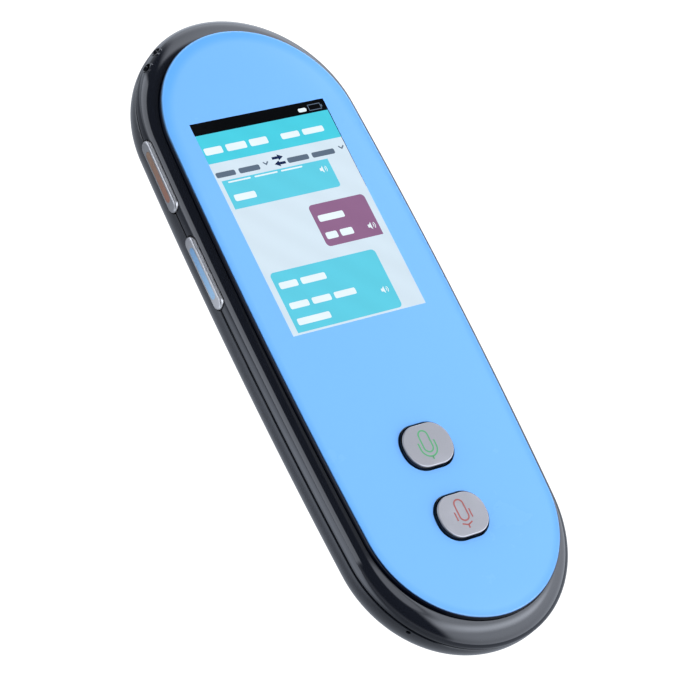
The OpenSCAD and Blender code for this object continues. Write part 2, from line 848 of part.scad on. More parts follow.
module talk_button(y) {
    translate([0, y, 0]) {
        translate([0, 0, talk_lip_top_z - merge])
            linear_extrude(talk_top_z - talk_face_t - talk_lip_top_z + merge)
                rounded_rect(talk_w, talk_l, talk_r);
        translate([0, 0, talk_lip_z])
            linear_extrude(talk_lip_t)
                rounded_rect(talk_w + 2 * talk_lip_w, talk_l + 2 * talk_lip_w, talk_r + talk_lip_w);
        translate([0, 0, talk_plunger_z])
            cylinder(h = talk_lip_z - talk_plunger_z + merge, r = talk_plunger_d / 2, $fn = fine);
    }
}

module talk_face(y) {
    translate([0, y, talk_top_z - talk_face_t])
        cap(
            talk_w - 2 * talk_face_inset, talk_l - 2 * talk_face_inset,
            talk_r - talk_face_inset, talk_face_t, talk_face_edge_r
        );
}

module talk_button_upper() color("#15171b") talk_button(talk_upper_y);
module talk_button_lower() color("#15171b") talk_button(talk_lower_y);
module talk_face_upper() color("#c9c8c9") talk_face(talk_upper_y);
module talk_face_lower() color("#c9c8c9") talk_face(talk_lower_y);

// Pill-shaped key cap with an inlay pocket, its lip behind the wall and the nub that meets the switch
module side_key(y) {
    at_side_key(y) {
        difference() {
            translate([side_lip_x + merge, 0, 0])
                rotate([0, -90, 0])
                    rotate([0, 0, 90])
                        cap(side_l, side_h, side_h / 2, side_lip_x + merge + side_proud, side_edge_r);
            translate([-side_proud - past, 0, 0])
                rotate([90, 0, 90])
                    linear_extrude(past + inlay_t) rounded_rect(inlay_l, inlay_w, inlay_w / 2);
        }
        translate([side_lip_x, -side_l / 2 - side_lip_over, -side_lip_h / 2])
            cube([side_lip_t, side_l + 2 * side_lip_over, side_lip_h]);
        translate([side_nub_x - merge, 0, 0])
            rotate([0, 90, 0]) cylinder(h = side_nub_l + merge, r = side_nub_d / 2, $fn = fine);
    }
}

module side_inlay(y) {
    at_side_key(y)
        translate([-side_proud, 0, 0])
            rotate([90, 0, 90])
                linear_extrude(inlay_t)
                    rounded_rect(inlay_l - 2 * inlay_gap, inlay_w - 2 * inlay_gap, inlay_w / 2 - inlay_gap);
}

module side_key_upper() color("#cfd0d2") side_key(side_upper_y);
module side_key_lower() color("#cfd0d2") side_key(side_lower_y);
module side_inlay_upper() color("#b5825f") side_inlay(side_upper_y);
module side_inlay_lower() color("#9cc8ee") side_inlay(side_lower_y);

module talk_switches() color("#d8d3c4")
    for (y = [talk_upper_y, talk_lower_y])
        translate([0, y, board_top_z]) {
            linear_extrude(talk_switch_t) rounded_rect(talk_switch_w, talk_switch_w, talk_switch_r);
            cylinder(h = talk_switch_t + talk_actuator_t, r = talk_actuator_d / 2, $fn = fine);
        }

module side_switches() color("#d8d3c4")
    for (y = [side_upper_y, side_lower_y])
        at_side_key(y) {
            translate([side_switch_x, -side_switch_w / 2, -side_switch_h / 2])
                cube([side_switch_t, side_switch_w, side_switch_h]);
            translate([side_switch_x - side_actuator_t, 0, 0])
                rotate([0, 90, 0]) cylinder(h = side_actuator_t + merge, r = side_actuator_d / 2, $fn = fine);
        }

// One strip of flex behind both side switches
module side_key_flex() color("#c98b3a")
    translate([0, 0, side_z - side_pad_h / 2 + side_rib_gap])
        linear_extrude(side_pad_h - 2 * side_rib_gap)
            polygon([
                key_point(side_upper_y, side_flex_x, side_pad_l / 2),
                key_point(side_upper_y, side_flex_x, -side_pad_l / 2),
                key_point(side_lower_y, side_flex_x, side_pad_l / 2),
                key_point(side_lower_y, side_flex_x, -side_pad_l / 2),
                key_point(side_lower_y, side_flex_x + side_flex_t, -side_pad_l / 2),
                key_point(side_lower_y, side_flex_x + side_flex_t, side_pad_l / 2),
                key_point(side_upper_y, side_flex_x + side_flex_t, -side_pad_l / 2),
                key_point(side_upper_y, side_flex_x + side_flex_t, side_pad_l / 2)
            ]);

module main_board() color("#1f6b3f")
    difference() {
        union() {
            core(board_z, board_top_z);
            outline(body_nose_y, body_bow) band(fill_x, board_nose_r, board_z, board_top_z);
        }
        // Room for the side key ribs
        translate([side_bay_x - body_nose_r, side_lower_y - side_pad_l / 2 - side_bay_room, board_z - past])
            cube([body_nose_r, side_pitch + side_pad_l + 2 * side_bay_room, board_t + 2 * past]);
        for (p = screw_places)
            pilot_hole(p, board_z, board_top_z + past, boss_d + 2 * fit_gap);
        for (p = board_places)
            pilot_hole(p, board_z, board_top_z + past, board_screw_d + 2 * screw_play);
        // Bay for the microphone boot
        at_nose(-body_nose_y, mic_angle, mic_front_r - mic_boot_wall - mic_l / 2, board_z - past)
            cylinder(h = board_t + 2 * past, r = mic_d / 2 + mic_boot_wall + mic_boot_room, $fn = fine);
    }

module chips() color("#202124")
    for (c = chip_list)
        translate([c[0] - c[2] / 2, display_y + c[1] - c[3] / 2, board_top_z]) cube([c[2], c[3], chip_t]);

module shield_cans() color("#c4c7cb")
    for (c = can_list)
        translate([c[0], display_y + c[1], board_top_z])
            difference() {
                linear_extrude(can_h) rounded_rect(c[2], c[3], can_r);
                translate([0, 0, -past])
                    linear_extrude(can_h + past - can_wall)
                        rounded_rect(c[2] - 2 * can_wall, c[3] - 2 * can_wall, can_r - can_wall);
            }

module board_connectors() color("#e6dfcf") {
    translate([-display_plug_w / 2, display_plug_y - display_plug_l / 2, board_top_z])
        cube([display_plug_w, display_plug_l, connector_t]);
    translate([side_plug_x, side_lower_y - side_plug_drop, board_top_z])
        cube([side_plug_w, side_plug_l, connector_t]);
    translate([lead_x + lead_w / 2 - battery_plug_w / 2, battery_low_y - battery_plug_drop, board_z - connector_t])
        cube([battery_plug_w, battery_plug_l, connector_t]);
}

module board_screws() color("#9a9ca0")
    for (p = board_places)
        translate([p.x, p.y, board_z - board_screw_head_t]) {
            cylinder(h = board_screw_head_t, r = board_screw_head_d / 2, $fn = fine);
            cylinder(h = board_screw_tip_z - board_z + board_screw_head_t, r = board_screw_d / 2, $fn = fine);
        }

// Oval shell, closed at the back, with its contact tongue
module usb_socket() color("#c2c5c9")
    translate([0, usb_mouth_y, usb_z])
        rotate([90, 0, 0]) {
            difference() {
                linear_extrude(usb_l) rounded_rect(usb_w, usb_h, usb_h / 2);
                translate([0, 0, -past])
                    linear_extrude(usb_l + past - 2 * usb_wall)
                        rounded_rect(usb_w - 2 * usb_wall, usb_h - 2 * usb_wall, usb_h / 2 - usb_wall);
            }
            translate([-usb_tongue_w / 2, -usb_tongue_t / 2, usb_tongue_recess])
                cube([usb_tongue_w, usb_tongue_t, usb_l - usb_tongue_recess - usb_wall]);
        }

module microphone() color("#b8bbbf")
    at_nose(-body_nose_y, mic_angle, mic_front_r - mic_boot_wall - mic_l, mic_z)
        rotate([0, 90, 0]) cylinder(h = mic_l, r = mic_d / 2, $fn = fine);

// Rubber cup round the microphone, with a spigot that leads the sound hole to it
module microphone_boot() color("#2b2d31")
    at_nose(-body_nose_y, mic_angle, mic_front_r - mic_boot_wall - mic_l, mic_z)
        rotate([0, 90, 0])
            difference() {
                union() {
                    cylinder(h = mic_l + mic_boot_wall, r = mic_d / 2 + mic_boot_wall, $fn = fine);
                    cylinder(
                        h = mic_l + mic_boot_wall + mic_spigot_l, r = mic_hole_d / 2 + mic_spigot_wall, $fn = fine
                    );
                }
                translate([0, 0, -past]) cylinder(h = mic_l + past, r = mic_d / 2 + thread_gap, $fn = fine);
                cylinder(h = mic_l + mic_boot_wall + mic_spigot_l + past, r = mic_hole_d / 2, $fn = fine);
            }

module wifi_antenna() color("#c98b3a")
    translate([0, body_nose_y, deck_z - antenna_t])
        rotate_extrude(angle = antenna_span, start = antenna_start, $fn = round_end)
            translate([antenna_r, 0]) square([antenna_w, antenna_t]);

module battery() color("#9aa0a8")
    translate([0, battery_y, battery_z]) {
        linear_extrude(battery_t) rounded_rect(battery_w, battery_l - 2 * battery_seam_w, battery_corner_r);
        translate([0, 0, (battery_t - battery_seam_t) / 2])
            linear_extrude(battery_seam_t) square([battery_w - 2 * battery_seam_w, battery_l], center = true);
    }

module battery_pad() color("#303338")
    translate([0, battery_y, cavity_z])
        linear_extrude(foam_t)
            rounded_rect(
                battery_w - 2 * battery_pad_margin, battery_l - 2 * (battery_seam_w + battery_pad_margin),
                battery_corner_r
            );

// Flat lead from the battery's end seam up to its connector on the board's underside
module battery_flex() color("#c98b3a") {
    seam_z = battery_z + (battery_t + battery_seam_t) / 2;
    plug_z = board_z - connector_t;
    start_y = battery_low_y + battery_seam_w - lead_t;
    rise_y = battery_low_y - battery_plug_drop + battery_plug_l + lead_t;
    end_y = battery_low_y - battery_plug_drop + lead_t / 2;
    translate([lead_x, 0, 0])
        rotate([90, 0, 90])
            linear_extrude(lead_w)
                polygon([
                    [start_y, seam_z], [start_y, seam_z + lead_t],
                    [battery_low_y - lead_t, seam_z + lead_t], [rise_y, plug_z],
                    [end_y, plug_z], [end_y, plug_z - lead_t],
                    [rise_y - lead_t / 2, plug_z - lead_t], [battery_low_y - 1.5 * lead_t, seam_z]
                ]);
}

module speaker() color("#2a2c30")
    translate([0, speaker_y, cavity_z + foam_t])
        difference() {
            linear_extrude(speaker_t) rounded_rect(speaker_w, speaker_l, speaker_r);
            translate([0, 0, -past])
                linear_extrude(past + speaker_mouth_t) rounded_rect(speaker_mouth_w, speaker_mouth_l, speaker_r);
            translate([0, 0, speaker_t - speaker_magnet_t])
                cylinder(h = speaker_magnet_t + past, r = speaker_magnet_d / 2, $fn = round_end);
        }

module speaker_gasket() color("#303338")
    translate([0, speaker_y, cavity_z])
        linear_extrude(foam_t)
            difference() {
                rounded_rect(speaker_w - 2 * mesh_margin, speaker_l - 2 * mesh_margin, speaker_r);
                rounded_rect(speaker_mouth_w, speaker_mouth_l, speaker_r);
            }

// Outline of the mesh over the sound outlet, grown by gap
module mesh_outline(gap) {
    rounded_rect(
        outlet_w + 2 * (mesh_margin + gap), outlet_l + 2 * (mesh_margin + gap), outlet_r + gap
    );
}

module speaker_mesh() color("#6a6d72")
    translate([0, speaker_y, back_t]) linear_extrude(adhesive_t) mesh_outline(0);

module housing_screws() color("#9a9ca0")
    for (p = screw_places)
        translate([p.x, p.y, screw_seat_z - screw_head_t]) {
            difference() {
                cylinder(h = screw_head_t, r = screw_head_d / 2, $fn = fine);
                translate([0, 0, -past]) cylinder(h = past + screw_socket_t, r = screw_socket_d / 2, $fn = 6);
            }
            translate([0, 0, screw_head_t - merge])
                cylinder(h = screw_tip_z - screw_seat_z + merge, r = screw_d / 2, $fn = fine);
        }

front_panel();
panel_adhesive();
front_housing();
rear_housing();
back_adhesive();
back_plate();
display_module();
display_backplate();
display_flex();
talk_button_upper();
talk_face_upper();
talk_button_lower();
talk_face_lower();
side_key_upper();
side_inlay_upper();
side_key_lower();
side_inlay_lower();
talk_switches();
side_switches();
side_key_flex();
main_board();
chips();
shield_cans();
board_connectors();
board_screws();
usb_socket();
microphone();
microphone_boot();
wifi_antenna();
battery();
battery_pad();
battery_flex();
speaker();
speaker_gasket();
speaker_mesh();
housing_screws();
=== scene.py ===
# %% [markdown]
# # A handheld translator in Blender
#
# The measured model comes from a CAD source and is loaded here as a fixed frame: every shell, key and
# board already lies where it belongs. This lesson gives the object its looks. It makes the finishes,
# the printed and lit details that a CAD solid leaves out, the light and the camera.
#
# All lengths are metres. +Z points out of the screen, +Y runs along the body towards the screen end,
# and the side keys are on the -X edge.

# %% Load the frame
import math
import bpy
import bmesh
from mathutils import Matrix, Vector


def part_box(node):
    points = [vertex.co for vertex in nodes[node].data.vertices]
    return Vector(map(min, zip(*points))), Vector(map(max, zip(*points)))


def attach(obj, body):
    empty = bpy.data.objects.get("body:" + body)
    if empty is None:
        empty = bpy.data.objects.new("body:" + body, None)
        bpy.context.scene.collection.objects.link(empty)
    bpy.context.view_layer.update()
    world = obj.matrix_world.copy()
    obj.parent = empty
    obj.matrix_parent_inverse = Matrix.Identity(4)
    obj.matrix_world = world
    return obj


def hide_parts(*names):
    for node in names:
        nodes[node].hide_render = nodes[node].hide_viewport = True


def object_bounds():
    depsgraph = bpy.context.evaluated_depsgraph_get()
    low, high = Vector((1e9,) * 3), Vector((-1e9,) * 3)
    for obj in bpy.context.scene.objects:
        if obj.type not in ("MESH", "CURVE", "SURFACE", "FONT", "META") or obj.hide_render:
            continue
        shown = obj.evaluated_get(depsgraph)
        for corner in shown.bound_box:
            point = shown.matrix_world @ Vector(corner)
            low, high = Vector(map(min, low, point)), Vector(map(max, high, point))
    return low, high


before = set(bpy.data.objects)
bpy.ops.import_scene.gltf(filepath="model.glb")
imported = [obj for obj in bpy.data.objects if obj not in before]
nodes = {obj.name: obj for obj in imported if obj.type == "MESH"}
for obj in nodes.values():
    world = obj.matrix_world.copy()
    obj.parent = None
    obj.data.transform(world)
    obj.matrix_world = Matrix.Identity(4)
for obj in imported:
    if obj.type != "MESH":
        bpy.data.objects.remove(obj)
cad_low, cad_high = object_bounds()
MM = 0.001
print(len(nodes), "nodes, box", [round(v / MM, 2) for v in cad_high - cad_low], "mm")

# %% [markdown]
# ## The camera
#
# The photograph was taken with a long lens from the lower left, about 50 degrees above the table, and
# the device was turned in the picture. A camera looks along its own -Z, so its matrix is made from
# three directions: right, up and backwards. First it is aimed at a point of the panel, then it is
# rolled about its own axis.

# %% Camera
CAMERA_PLACE = (-0.362709, -0.176740, 0.486061)
CAMERA_TARGET = (-0.0074604, -0.0043936, 0.014)
CAMERA_ROLL = 43.118
SENSOR_WIDTH, LENS = 36, 163.303
NEAREST, FARTHEST = 0.02, 20


def placed(name, data):
    """Puts a mesh or a camera into the scene as an object."""
    piece = bpy.data.objects.new(name, data)
    bpy.context.scene.collection.objects.link(piece)
    return piece


def aim(obj, place, target, roll):
    """Turns obj so that its -Z looks from place at target, then rolls it, in degrees."""
    back = (Vector(place) - Vector(target)).normalized()
    right = Vector((0, 0, 1)).cross(back).normalized()
    up = back.cross(right)
    turn = Matrix((right, up, back)).transposed().to_4x4()
    obj.matrix_world = Matrix.Translation(place) @ turn @ Matrix.Rotation(math.radians(roll), 4, "Z")


camera = placed("camera", bpy.data.cameras.new("camera"))
camera.data.sensor_width = SENSOR_WIDTH
camera.data.lens = LENS
camera.data.clip_start, camera.data.clip_end = NEAREST, FARTHEST
aim(camera, CAMERA_PLACE, CAMERA_TARGET, CAMERA_ROLL)
bpy.context.scene.camera = camera
print("camera", [round(v, 3) for v in camera.location], "lens", round(LENS, 1), "mm")

# %% [markdown]
# ## Small helpers for node trees
#
# A node tree is a list of nodes and the wires between them. A few helpers keep the recipes short: one
# makes a node and fills in its sockets, where a value may be a number or what comes along a wire. A
# number on a wire is called a Signal here. Adding or multiplying Signals makes the Math nodes for it,
# so a formula in a tree reads like any other formula.

# %% Node helpers
def maths(tree, operation, *values):
    """One Math node; returns its result as a Signal."""
    return Signal(tree, made(tree, "ShaderNodeMath", dict(enumerate(values)), operation=operation))


class Signal:
    """A number on a wire of a node tree. Arithmetic with it makes Math nodes."""

    def __init__(self, tree, socket):
        self.tree, self.socket = tree, socket

    def math(self, operation, *others):
        return maths(self.tree, operation, self, *others)

    def __add__(self, other):
        return self.math("ADD", other)

    def __sub__(self, other):
        return self.math("SUBTRACT", other)

    def __rsub__(self, other):
        return maths(self.tree, "SUBTRACT", other, self)

    def __mul__(self, other):
        return self.math("MULTIPLY", other)

    def __truediv__(self, other):
        return self.math("DIVIDE", other)

    def __rtruediv__(self, other):
        return maths(self.tree, "DIVIDE", other, self)


def fill(tree, node, values):
    """Fills input sockets, by name or number, with plain values or with what comes along a wire."""
    for key, value in values.items():
        if isinstance(value, Signal):
            value = value.socket
        if isinstance(value, bpy.types.NodeSocket):
            tree.links.new(value, node.inputs[key])
        else:
            node.inputs[key].default_value = value
    return node


def add(tree, kind, values=None, **settings):
    """Makes a node; settings are its properties, values go to its input sockets."""
    node = tree.nodes.new(kind)
    for key, value in settings.items():
        setattr(node, key, value)
    return fill(tree, node, values or {})


def made(tree, kind, values=None, **settings):
    """Makes a node and returns its first output."""
    return add(tree, kind, values, **settings).outputs[0]


print("helpers ready")


# %% Groups and common nodes
def signals(tree, sockets):
    """Sockets by name, as Signals. A group's input node has a nameless spare one, which is left out."""
    return {socket.name: Signal(tree, socket) for socket in sockets if socket.name}


def new_group(name, kind, inputs, outputs):
    """A node group; returns it with its inputs as Signals and its output node.

    inputs: {name: default}, outputs: {name: socket type}."""
    group = bpy.data.node_groups.new(name, kind)
    for label, value in inputs.items():
        socket_type = "NodeSocketVector" if isinstance(value, tuple) else "NodeSocketFloat"
        socket = group.interface.new_socket(label, in_out="INPUT", socket_type=socket_type)
        socket.default_value = value
    for label, socket_type in outputs.items():
        group.interface.new_socket(label, in_out="OUTPUT", socket_type=socket_type)
    entry = group.nodes.new("NodeGroupInput")
    return group, signals(group, entry.outputs), group.nodes.new("NodeGroupOutput")


def use(tree, group, **values):
    """Places a group and returns its outputs; keyword names stand for sockets, with _ for a space."""
    node = add(tree, "ShaderNodeGroup", node_tree=group)
    fill(tree, node, {key.replace("_", " "): value for key, value in values.items()})
    return signals(tree, node.outputs)


def spread(tree, value, first, last, low=0.0, high=1.0, kind="LINEAR"):
    """Runs from low to high while value runs from first to last, and stays there beyond."""
    return Signal(tree, made(tree, "ShaderNodeMapRange", {
        "Value": value, "From Min": first, "From Max": last, "To Min": low, "To Max": high},
        interpolation_type=kind))


def axes(tree, place):
    """The x, y and z of a vector."""
    split = add(tree, "ShaderNodeSeparateXYZ", {0: place})
    return [Signal(tree, socket) for socket in split.outputs]


def vector(tree, x=0.0, y=0.0, z=0.0):
    """Three numbers as one vector."""
    return made(tree, "ShaderNodeCombineXYZ", {0: x, 1: y, 2: z})


def object_place(tree):
    """The point being shaded, along the object's own axes."""
    return tree.nodes.new("ShaderNodeTexCoord").outputs["Object"]


def noise(tree, scale, detail, **more):
    """A soft random value around 0.5; scale is its cells per metre."""
    return Signal(tree, made(tree, "ShaderNodeTexNoise", {
        "Vector": object_place(tree), "Scale": scale, "Detail": detail, **more}))


print("common nodes ready")

# %% [markdown]
# ## Effects that several finishes share
#
# Three effects are built once as node groups and placed in each material with its own numbers.
#
# * **Fine grain** is the tooth of a moulded or blasted surface: a height for the bump and a gentle
#   spread of brightness.
# * **Handling** is what hands leave on gloss: broad, faint smudges that change only the roughness.
# * **Dust** is a scatter of very small pale specks.

# %% Fine grain, handling and dust
MM_PER_M = 1000.0
NUMBER = "NodeSocketFloat"


def make_grain():
    group, size, leave = new_group(
        "fine_grain", "ShaderNodeTree",
        {"Grains per mm": 8.0, "Height": 0.3, "Tone": 0.1}, {"Height": NUMBER, "Tone": NUMBER})
    swing = noise(group, size["Grains per mm"] * MM_PER_M, 2.0) - 0.5
    fill(group, leave, {"Height": swing * size["Height"], "Tone": swing * size["Tone"] + 1.0})
    return group


def make_handling():
    group, size, leave = new_group(
        "handling", "ShaderNodeTree",
        {"Clean": 0.06, "Touched": 0.2, "Patch size": 12.0}, {"Roughness": NUMBER})
    patch = noise(group, MM_PER_M / size["Patch size"], 5.0, Roughness=0.6)
    fill(group, leave, {"Roughness": spread(group, patch, 0.5, 0.75, size["Clean"], size["Touched"])})
    return group


def make_dust():
    group, size, leave = new_group(
        "dust", "ShaderNodeTree", {"Specks per mm": 0.6, "Size": 0.06}, {"Mask": NUMBER})
    cells = add(group, "ShaderNodeTexVoronoi", {
        "Vector": object_place(group), "Scale": size["Specks per mm"] * MM_PER_M})
    distance = Signal(group, cells.outputs["Distance"])
    fill(group, leave, {"Mask": distance.math("LESS_THAN", size["Size"])})
    return group


GRAIN, HANDLING, DUST = make_grain(), make_handling(), make_dust()
print("groups:", GRAIN.name, HANDLING.name, DUST.name)

# %% [markdown]
# ## Finishes made from one pattern
#
# Most parts are one material with grain in it: nylon, steel, foam, epoxy. One function builds them
# all. The numbers that are the same all over a part, such as metalness, sit on the shader itself.

# %% Plain finishes
def start(name):
    """A new material with an empty tree and a Principled shader wired to its output."""
    material = bpy.data.materials.new(name)
    material.use_nodes = True
    tree = material.node_tree
    tree.nodes.clear()
    shader = tree.nodes.new("ShaderNodeBsdfPrincipled")
    output = tree.nodes.new("ShaderNodeOutputMaterial")
    tree.links.new(shader.outputs[0], output.inputs[0])
    return material, tree, shader


def tinted(tree, colour, tone):
    """A colour, plain or on a wire, times a tone that changes over the surface."""
    return made(tree, "ShaderNodeVectorMath", {0: colour, "Scale": tone}, operation="SCALE")


def mixed(tree, amount, one, two):
    """A colour between two, which are plain (r, g, b, 1) or on wires."""
    return add(tree, "ShaderNodeMix", {0: amount, 6: one, 7: two}, data_type="RGBA").outputs[2]


def bumped(tree, height, strength=0.5, reach=0.02 * MM):
    """The normal that a height gives; reach is how high a step of one would be."""
    return made(tree, "ShaderNodeBump", {"Height": height, "Strength": strength, "Distance": reach})


def touched(tree, clean, most, patch):
    """Roughness from clean to most, in patches of so many millimetres."""
    return use(tree, HANDLING, Clean=clean, Touched=most, Patch_size=patch)["Roughness"]


def plain(name, colour, roughness, metallic=0.0, grains=6.0, tone=0.15, height=0.3, coat=0.0):
    """One material with grain and handling; grains is how many of them fit on a millimetre."""
    material, tree, shader = start(name)
    grain = use(tree, GRAIN, Grains_per_mm=grains, Height=height, Tone=tone)
    fill(tree, shader, {
        "Base Color": tinted(tree, colour, grain["Tone"]),
        "Roughness": touched(tree, roughness, min(1.0, roughness + 0.12), 6.0),
        "Normal": bumped(tree, grain["Height"]),
        "Metallic": metallic, "Coat Weight": coat})
    return material


steel = plain("stamped_steel", (0.55, 0.56, 0.58), 0.32, metallic=1.0, grains=3.0, height=0.15)
screw_metal = plain("plated_screw", (0.36, 0.37, 0.4), 0.3, metallic=1.0)
mic_can = plain("drawn_can", (0.6, 0.61, 0.63), 0.25, metallic=1.0)
amber = plain("polyimide_flex", (0.42, 0.17, 0.03), 0.35, grains=2.0, coat=0.3)
nylon = plain("cream_nylon", (0.66, 0.6, 0.46), 0.45)
epoxy = plain("chip_epoxy", (0.02, 0.02, 0.022), 0.5)
foam = plain("black_foam", (0.025, 0.025, 0.028), 0.85, grains=4.0, tone=0.5, height=1.0)
rubber = plain("black_silicone", (0.018, 0.018, 0.02), 0.55)
speaker_box = plain("speaker_box", (0.028, 0.028, 0.032), 0.4)
foil = plain("pouch_foil", (0.5, 0.52, 0.55), 0.3, metallic=0.9, grains=1.2, height=0.8)
print(len(bpy.data.materials), "materials so far")

# %% [markdown]
# ## The lacquered shells
#
# Both shells are moulded plastic under a nearly black lacquer. A lacquer is two surfaces in one: a
# coloured one below and a clear, very smooth one on top. Principled has that second surface built in
# as its coat. What one sees on such gloss is almost only the room, so the base stays very dark and the
# finish lives from a faint orange peel, broad smudges and a few specks of dust.

# %% Lacquer
DUST_COLOUR = (0.3, 0.3, 0.31, 1)
DUST_SHARE = 0.12
PEEL_PER_M = 900.0


def lacquer(name, colour, roughness):
    """A dark base with specks of dust under a clear coat that is a little wavy."""
    material, tree, shader = start(name)
    grain = use(tree, GRAIN, Grains_per_mm=12.0, Height=0.1, Tone=0.3)
    specks = use(tree, DUST, Specks_per_mm=0.35, Size=0.03)["Mask"] * DUST_SHARE
    fill(tree, shader, {
        "Base Color": mixed(tree, specks, tinted(tree, colour, grain["Tone"]), DUST_COLOUR),
        "Roughness": touched(tree, roughness, roughness + 0.07, 14.0),
        "Normal": bumped(tree, noise(tree, PEEL_PER_M, 1.0), 0.25, 0.004 * MM),
        "Specular IOR Level": 0.15, "Coat Weight": 1.0, "Coat Roughness": 0.03})
    return material


shell = lacquer("charcoal_lacquer", (0.0075, 0.009, 0.0135), 0.12)
back_gloss = lacquer("back_gloss", (0.006, 0.0065, 0.008), 0.16)
key_gloss = lacquer("key_gloss", (0.005, 0.0055, 0.007), 0.08)
cover = lacquer("display_cover", (0.006, 0.007, 0.01), 0.08)
print("lacquers:", shell.name, back_gloss.name, key_gloss.name)

# %% [markdown]
# ## Satin metal
#
# The faces of the talk keys are bead-blasted: the tiny pits scatter the light evenly, so the metal
# looks soft and has no streaks. The side keys have a finer tooth and an even, broad sheen. Each
# coloured inlay is a satin paint whose colour drifts along the key, as it does in the photograph.

# %% Keys and inlays
blasted = plain("blasted_silver", (0.4, 0.39, 0.4), 0.36, metallic=1.0, grains=14.0, tone=0.25,
                height=0.6)
satin = plain("satin_silver", (0.5, 0.495, 0.495), 0.42, metallic=1.0, grains=9.0, tone=0.1,
              height=0.15)


def inlay_paint(name, low, high, node):
    """Paint that runs from one colour to the other along the inlay of a side key."""
    material, tree, shader = start(name)
    first, last = (corner.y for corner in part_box(node))
    along = spread(tree, axes(tree, object_place(tree))[1], first, last)
    grain = use(tree, GRAIN, Grains_per_mm=10.0, Height=0.3, Tone=0.12)
    fill(tree, shader, {
        "Base Color": tinted(tree, mixed(tree, along, (*low, 1), (*high, 1)), grain["Tone"]),
        "Roughness": touched(tree, 0.3, 0.42, 3.0),
        "Normal": bumped(tree, grain["Height"]),
        "Metallic": 0.3})
    return material


copper = inlay_paint("copper_paint", (0.42, 0.2, 0.14), (0.38, 0.25, 0.17), "side_inlay_upper")
sky = inlay_paint("sky_paint", (0.33, 0.53, 0.72), (0.22, 0.42, 0.66), "side_inlay_lower")
print("inlays:", copper.name, sky.name)

# %% [markdown]
# ## The circuit board
#
# Solder mask is a thin green varnish over copper tracks, so the tracks show as slightly raised, lighter
# lines. A brick pattern with long bricks gives such lines without drawing each one.

# %% Circuit board
def solder_mask():
    material, tree, shader = start("solder_mask")
    tracks = add(tree, "ShaderNodeTexBrick", {
        "Vector": object_place(tree), "Color1": (0.008, 0.1, 0.04, 1), "Color2": (0.01, 0.12, 0.05, 1),
        "Mortar": (0.02, 0.19, 0.08, 1), "Scale": 160.0, "Mortar Size": 0.03, "Brick Width": 1.6})
    grain = use(tree, GRAIN, Grains_per_mm=5.0, Height=0.2, Tone=0.1)
    height = Signal(tree, tracks.outputs["Fac"]) + grain["Height"]
    fill(tree, shader, {
        "Base Color": tinted(tree, tracks.outputs[0], grain["Tone"]),
        "Normal": bumped(tree, height), "Roughness": 0.35, "Coat Weight": 0.4})
    return material


board_green = solder_mask()
print("board:", board_green.name)

# %% [markdown]
# ## Dressing the CAD nodes
#
# A CAD node keeps its mesh. It gets its finish through the material slots of its object, so the
# measured shape is never touched.

# %% Finishes of the CAD nodes
FINISHES = {
    shell: ["front_housing", "rear_housing"],
    back_gloss: ["back_plate"],
    cover: ["display_module"],
    key_gloss: ["talk_button_upper", "talk_button_lower"],
    blasted: ["talk_face_upper", "talk_face_lower"],
    satin: ["side_key_upper", "side_key_lower"],
    copper: ["side_inlay_upper"],
    sky: ["side_inlay_lower"],
    steel: ["display_backplate", "shield_cans", "usb_socket", "speaker_mesh"],
    amber: ["display_flex", "side_key_flex", "wifi_antenna", "battery_flex"],
    nylon: ["talk_switches", "side_switches", "board_connectors"],
    epoxy: ["chips"],
    board_green: ["main_board"],
    screw_metal: ["board_screws", "housing_screws"],
    mic_can: ["microphone"],
    rubber: ["microphone_boot"],
    foam: ["panel_adhesive", "back_adhesive", "battery_pad", "speaker_gasket"],
    foil: ["battery"],
    speaker_box: ["speaker"],
}
dressed = 0
for material, names in FINISHES.items():
    for name in names:
        for slot in nodes[name].material_slots:
            slot.material = material
        dressed += 1
print(dressed, "nodes dressed")

# %% [markdown]
# ## The outline that everything follows
#
# Seen from above, the body is a pill whose long sides swell a little. Its outline is four arcs: a small
# one round each nose and a very large one along each side. Neighbouring arcs share their normal where
# they meet, so the curve has no kink. The same four numbers serve the shape and, further on, the paint.

# %% Outline numbers
def to_tenth(length):
    """A CAD mesh has corners beside the widest spot, so its box is a hair small: rounds to 0.1 mm."""
    return round(length / MM, 1) * MM


panel_low, panel_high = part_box("front_panel")
NOSE_Y = 45 * MM
BOW = 1 * MM
NOSE_R = to_tenth(panel_high.x) - BOW
FAR = (NOSE_Y ** 2 - BOW ** 2) / (2 * BOW)
SIDE_R = FAR + BOW + NOSE_R
print("nose radius", round(NOSE_R / MM, 2), "side radius", round(SIDE_R / MM, 1), "mm")

# %% [markdown]
# ## Paint behind a clear panel, with painted light at its edge
#
# The panel is clear plastic, painted light blue on its back. Where its edge curves away one looks
# through more plastic at a slant, so the very edge turns dark: painted shade in the colour. At the
# screen end a pale line, a painted highlight, and a deeper blue band of painted shade run just inside
# the edge, and along the rest the blue only fades. The colour is therefore a pair of colour ramps over
# the distance from the edge, mixed along the body. That distance is worked out from the outline's own
# arcs in a node group. The clear coat fades at the dark edge.

# %% Distance from the panel's edge
def make_edge_distance():
    group, size, leave = new_group(
        "edge_distance", "ShaderNodeTree",
        {"Nose distance": NOSE_Y, "Nose radius": NOSE_R, "Far centre": FAR, "Side radius": SIDE_R},
        {"Millimetres": NUMBER})
    x, y = (part.math("ABSOLUTE") for part in axes(group, object_place(group))[:2])

    def reach(a, b):
        return (a * a + b * b).math("SQRT")

    past_nose = y - size["Nose distance"]
    from_nose = size["Nose radius"] - reach(x, past_nose)
    from_side = size["Side radius"] - reach(x + size["Far centre"], y)
    slope = size["Nose distance"] / size["Far centre"]
    in_nose = past_nose.math("GREATER_THAN", x * slope)
    metres = (from_nose - from_side) * in_nose + from_side
    fill(group, leave, {"Millimetres": metres * MM_PER_M})
    return group


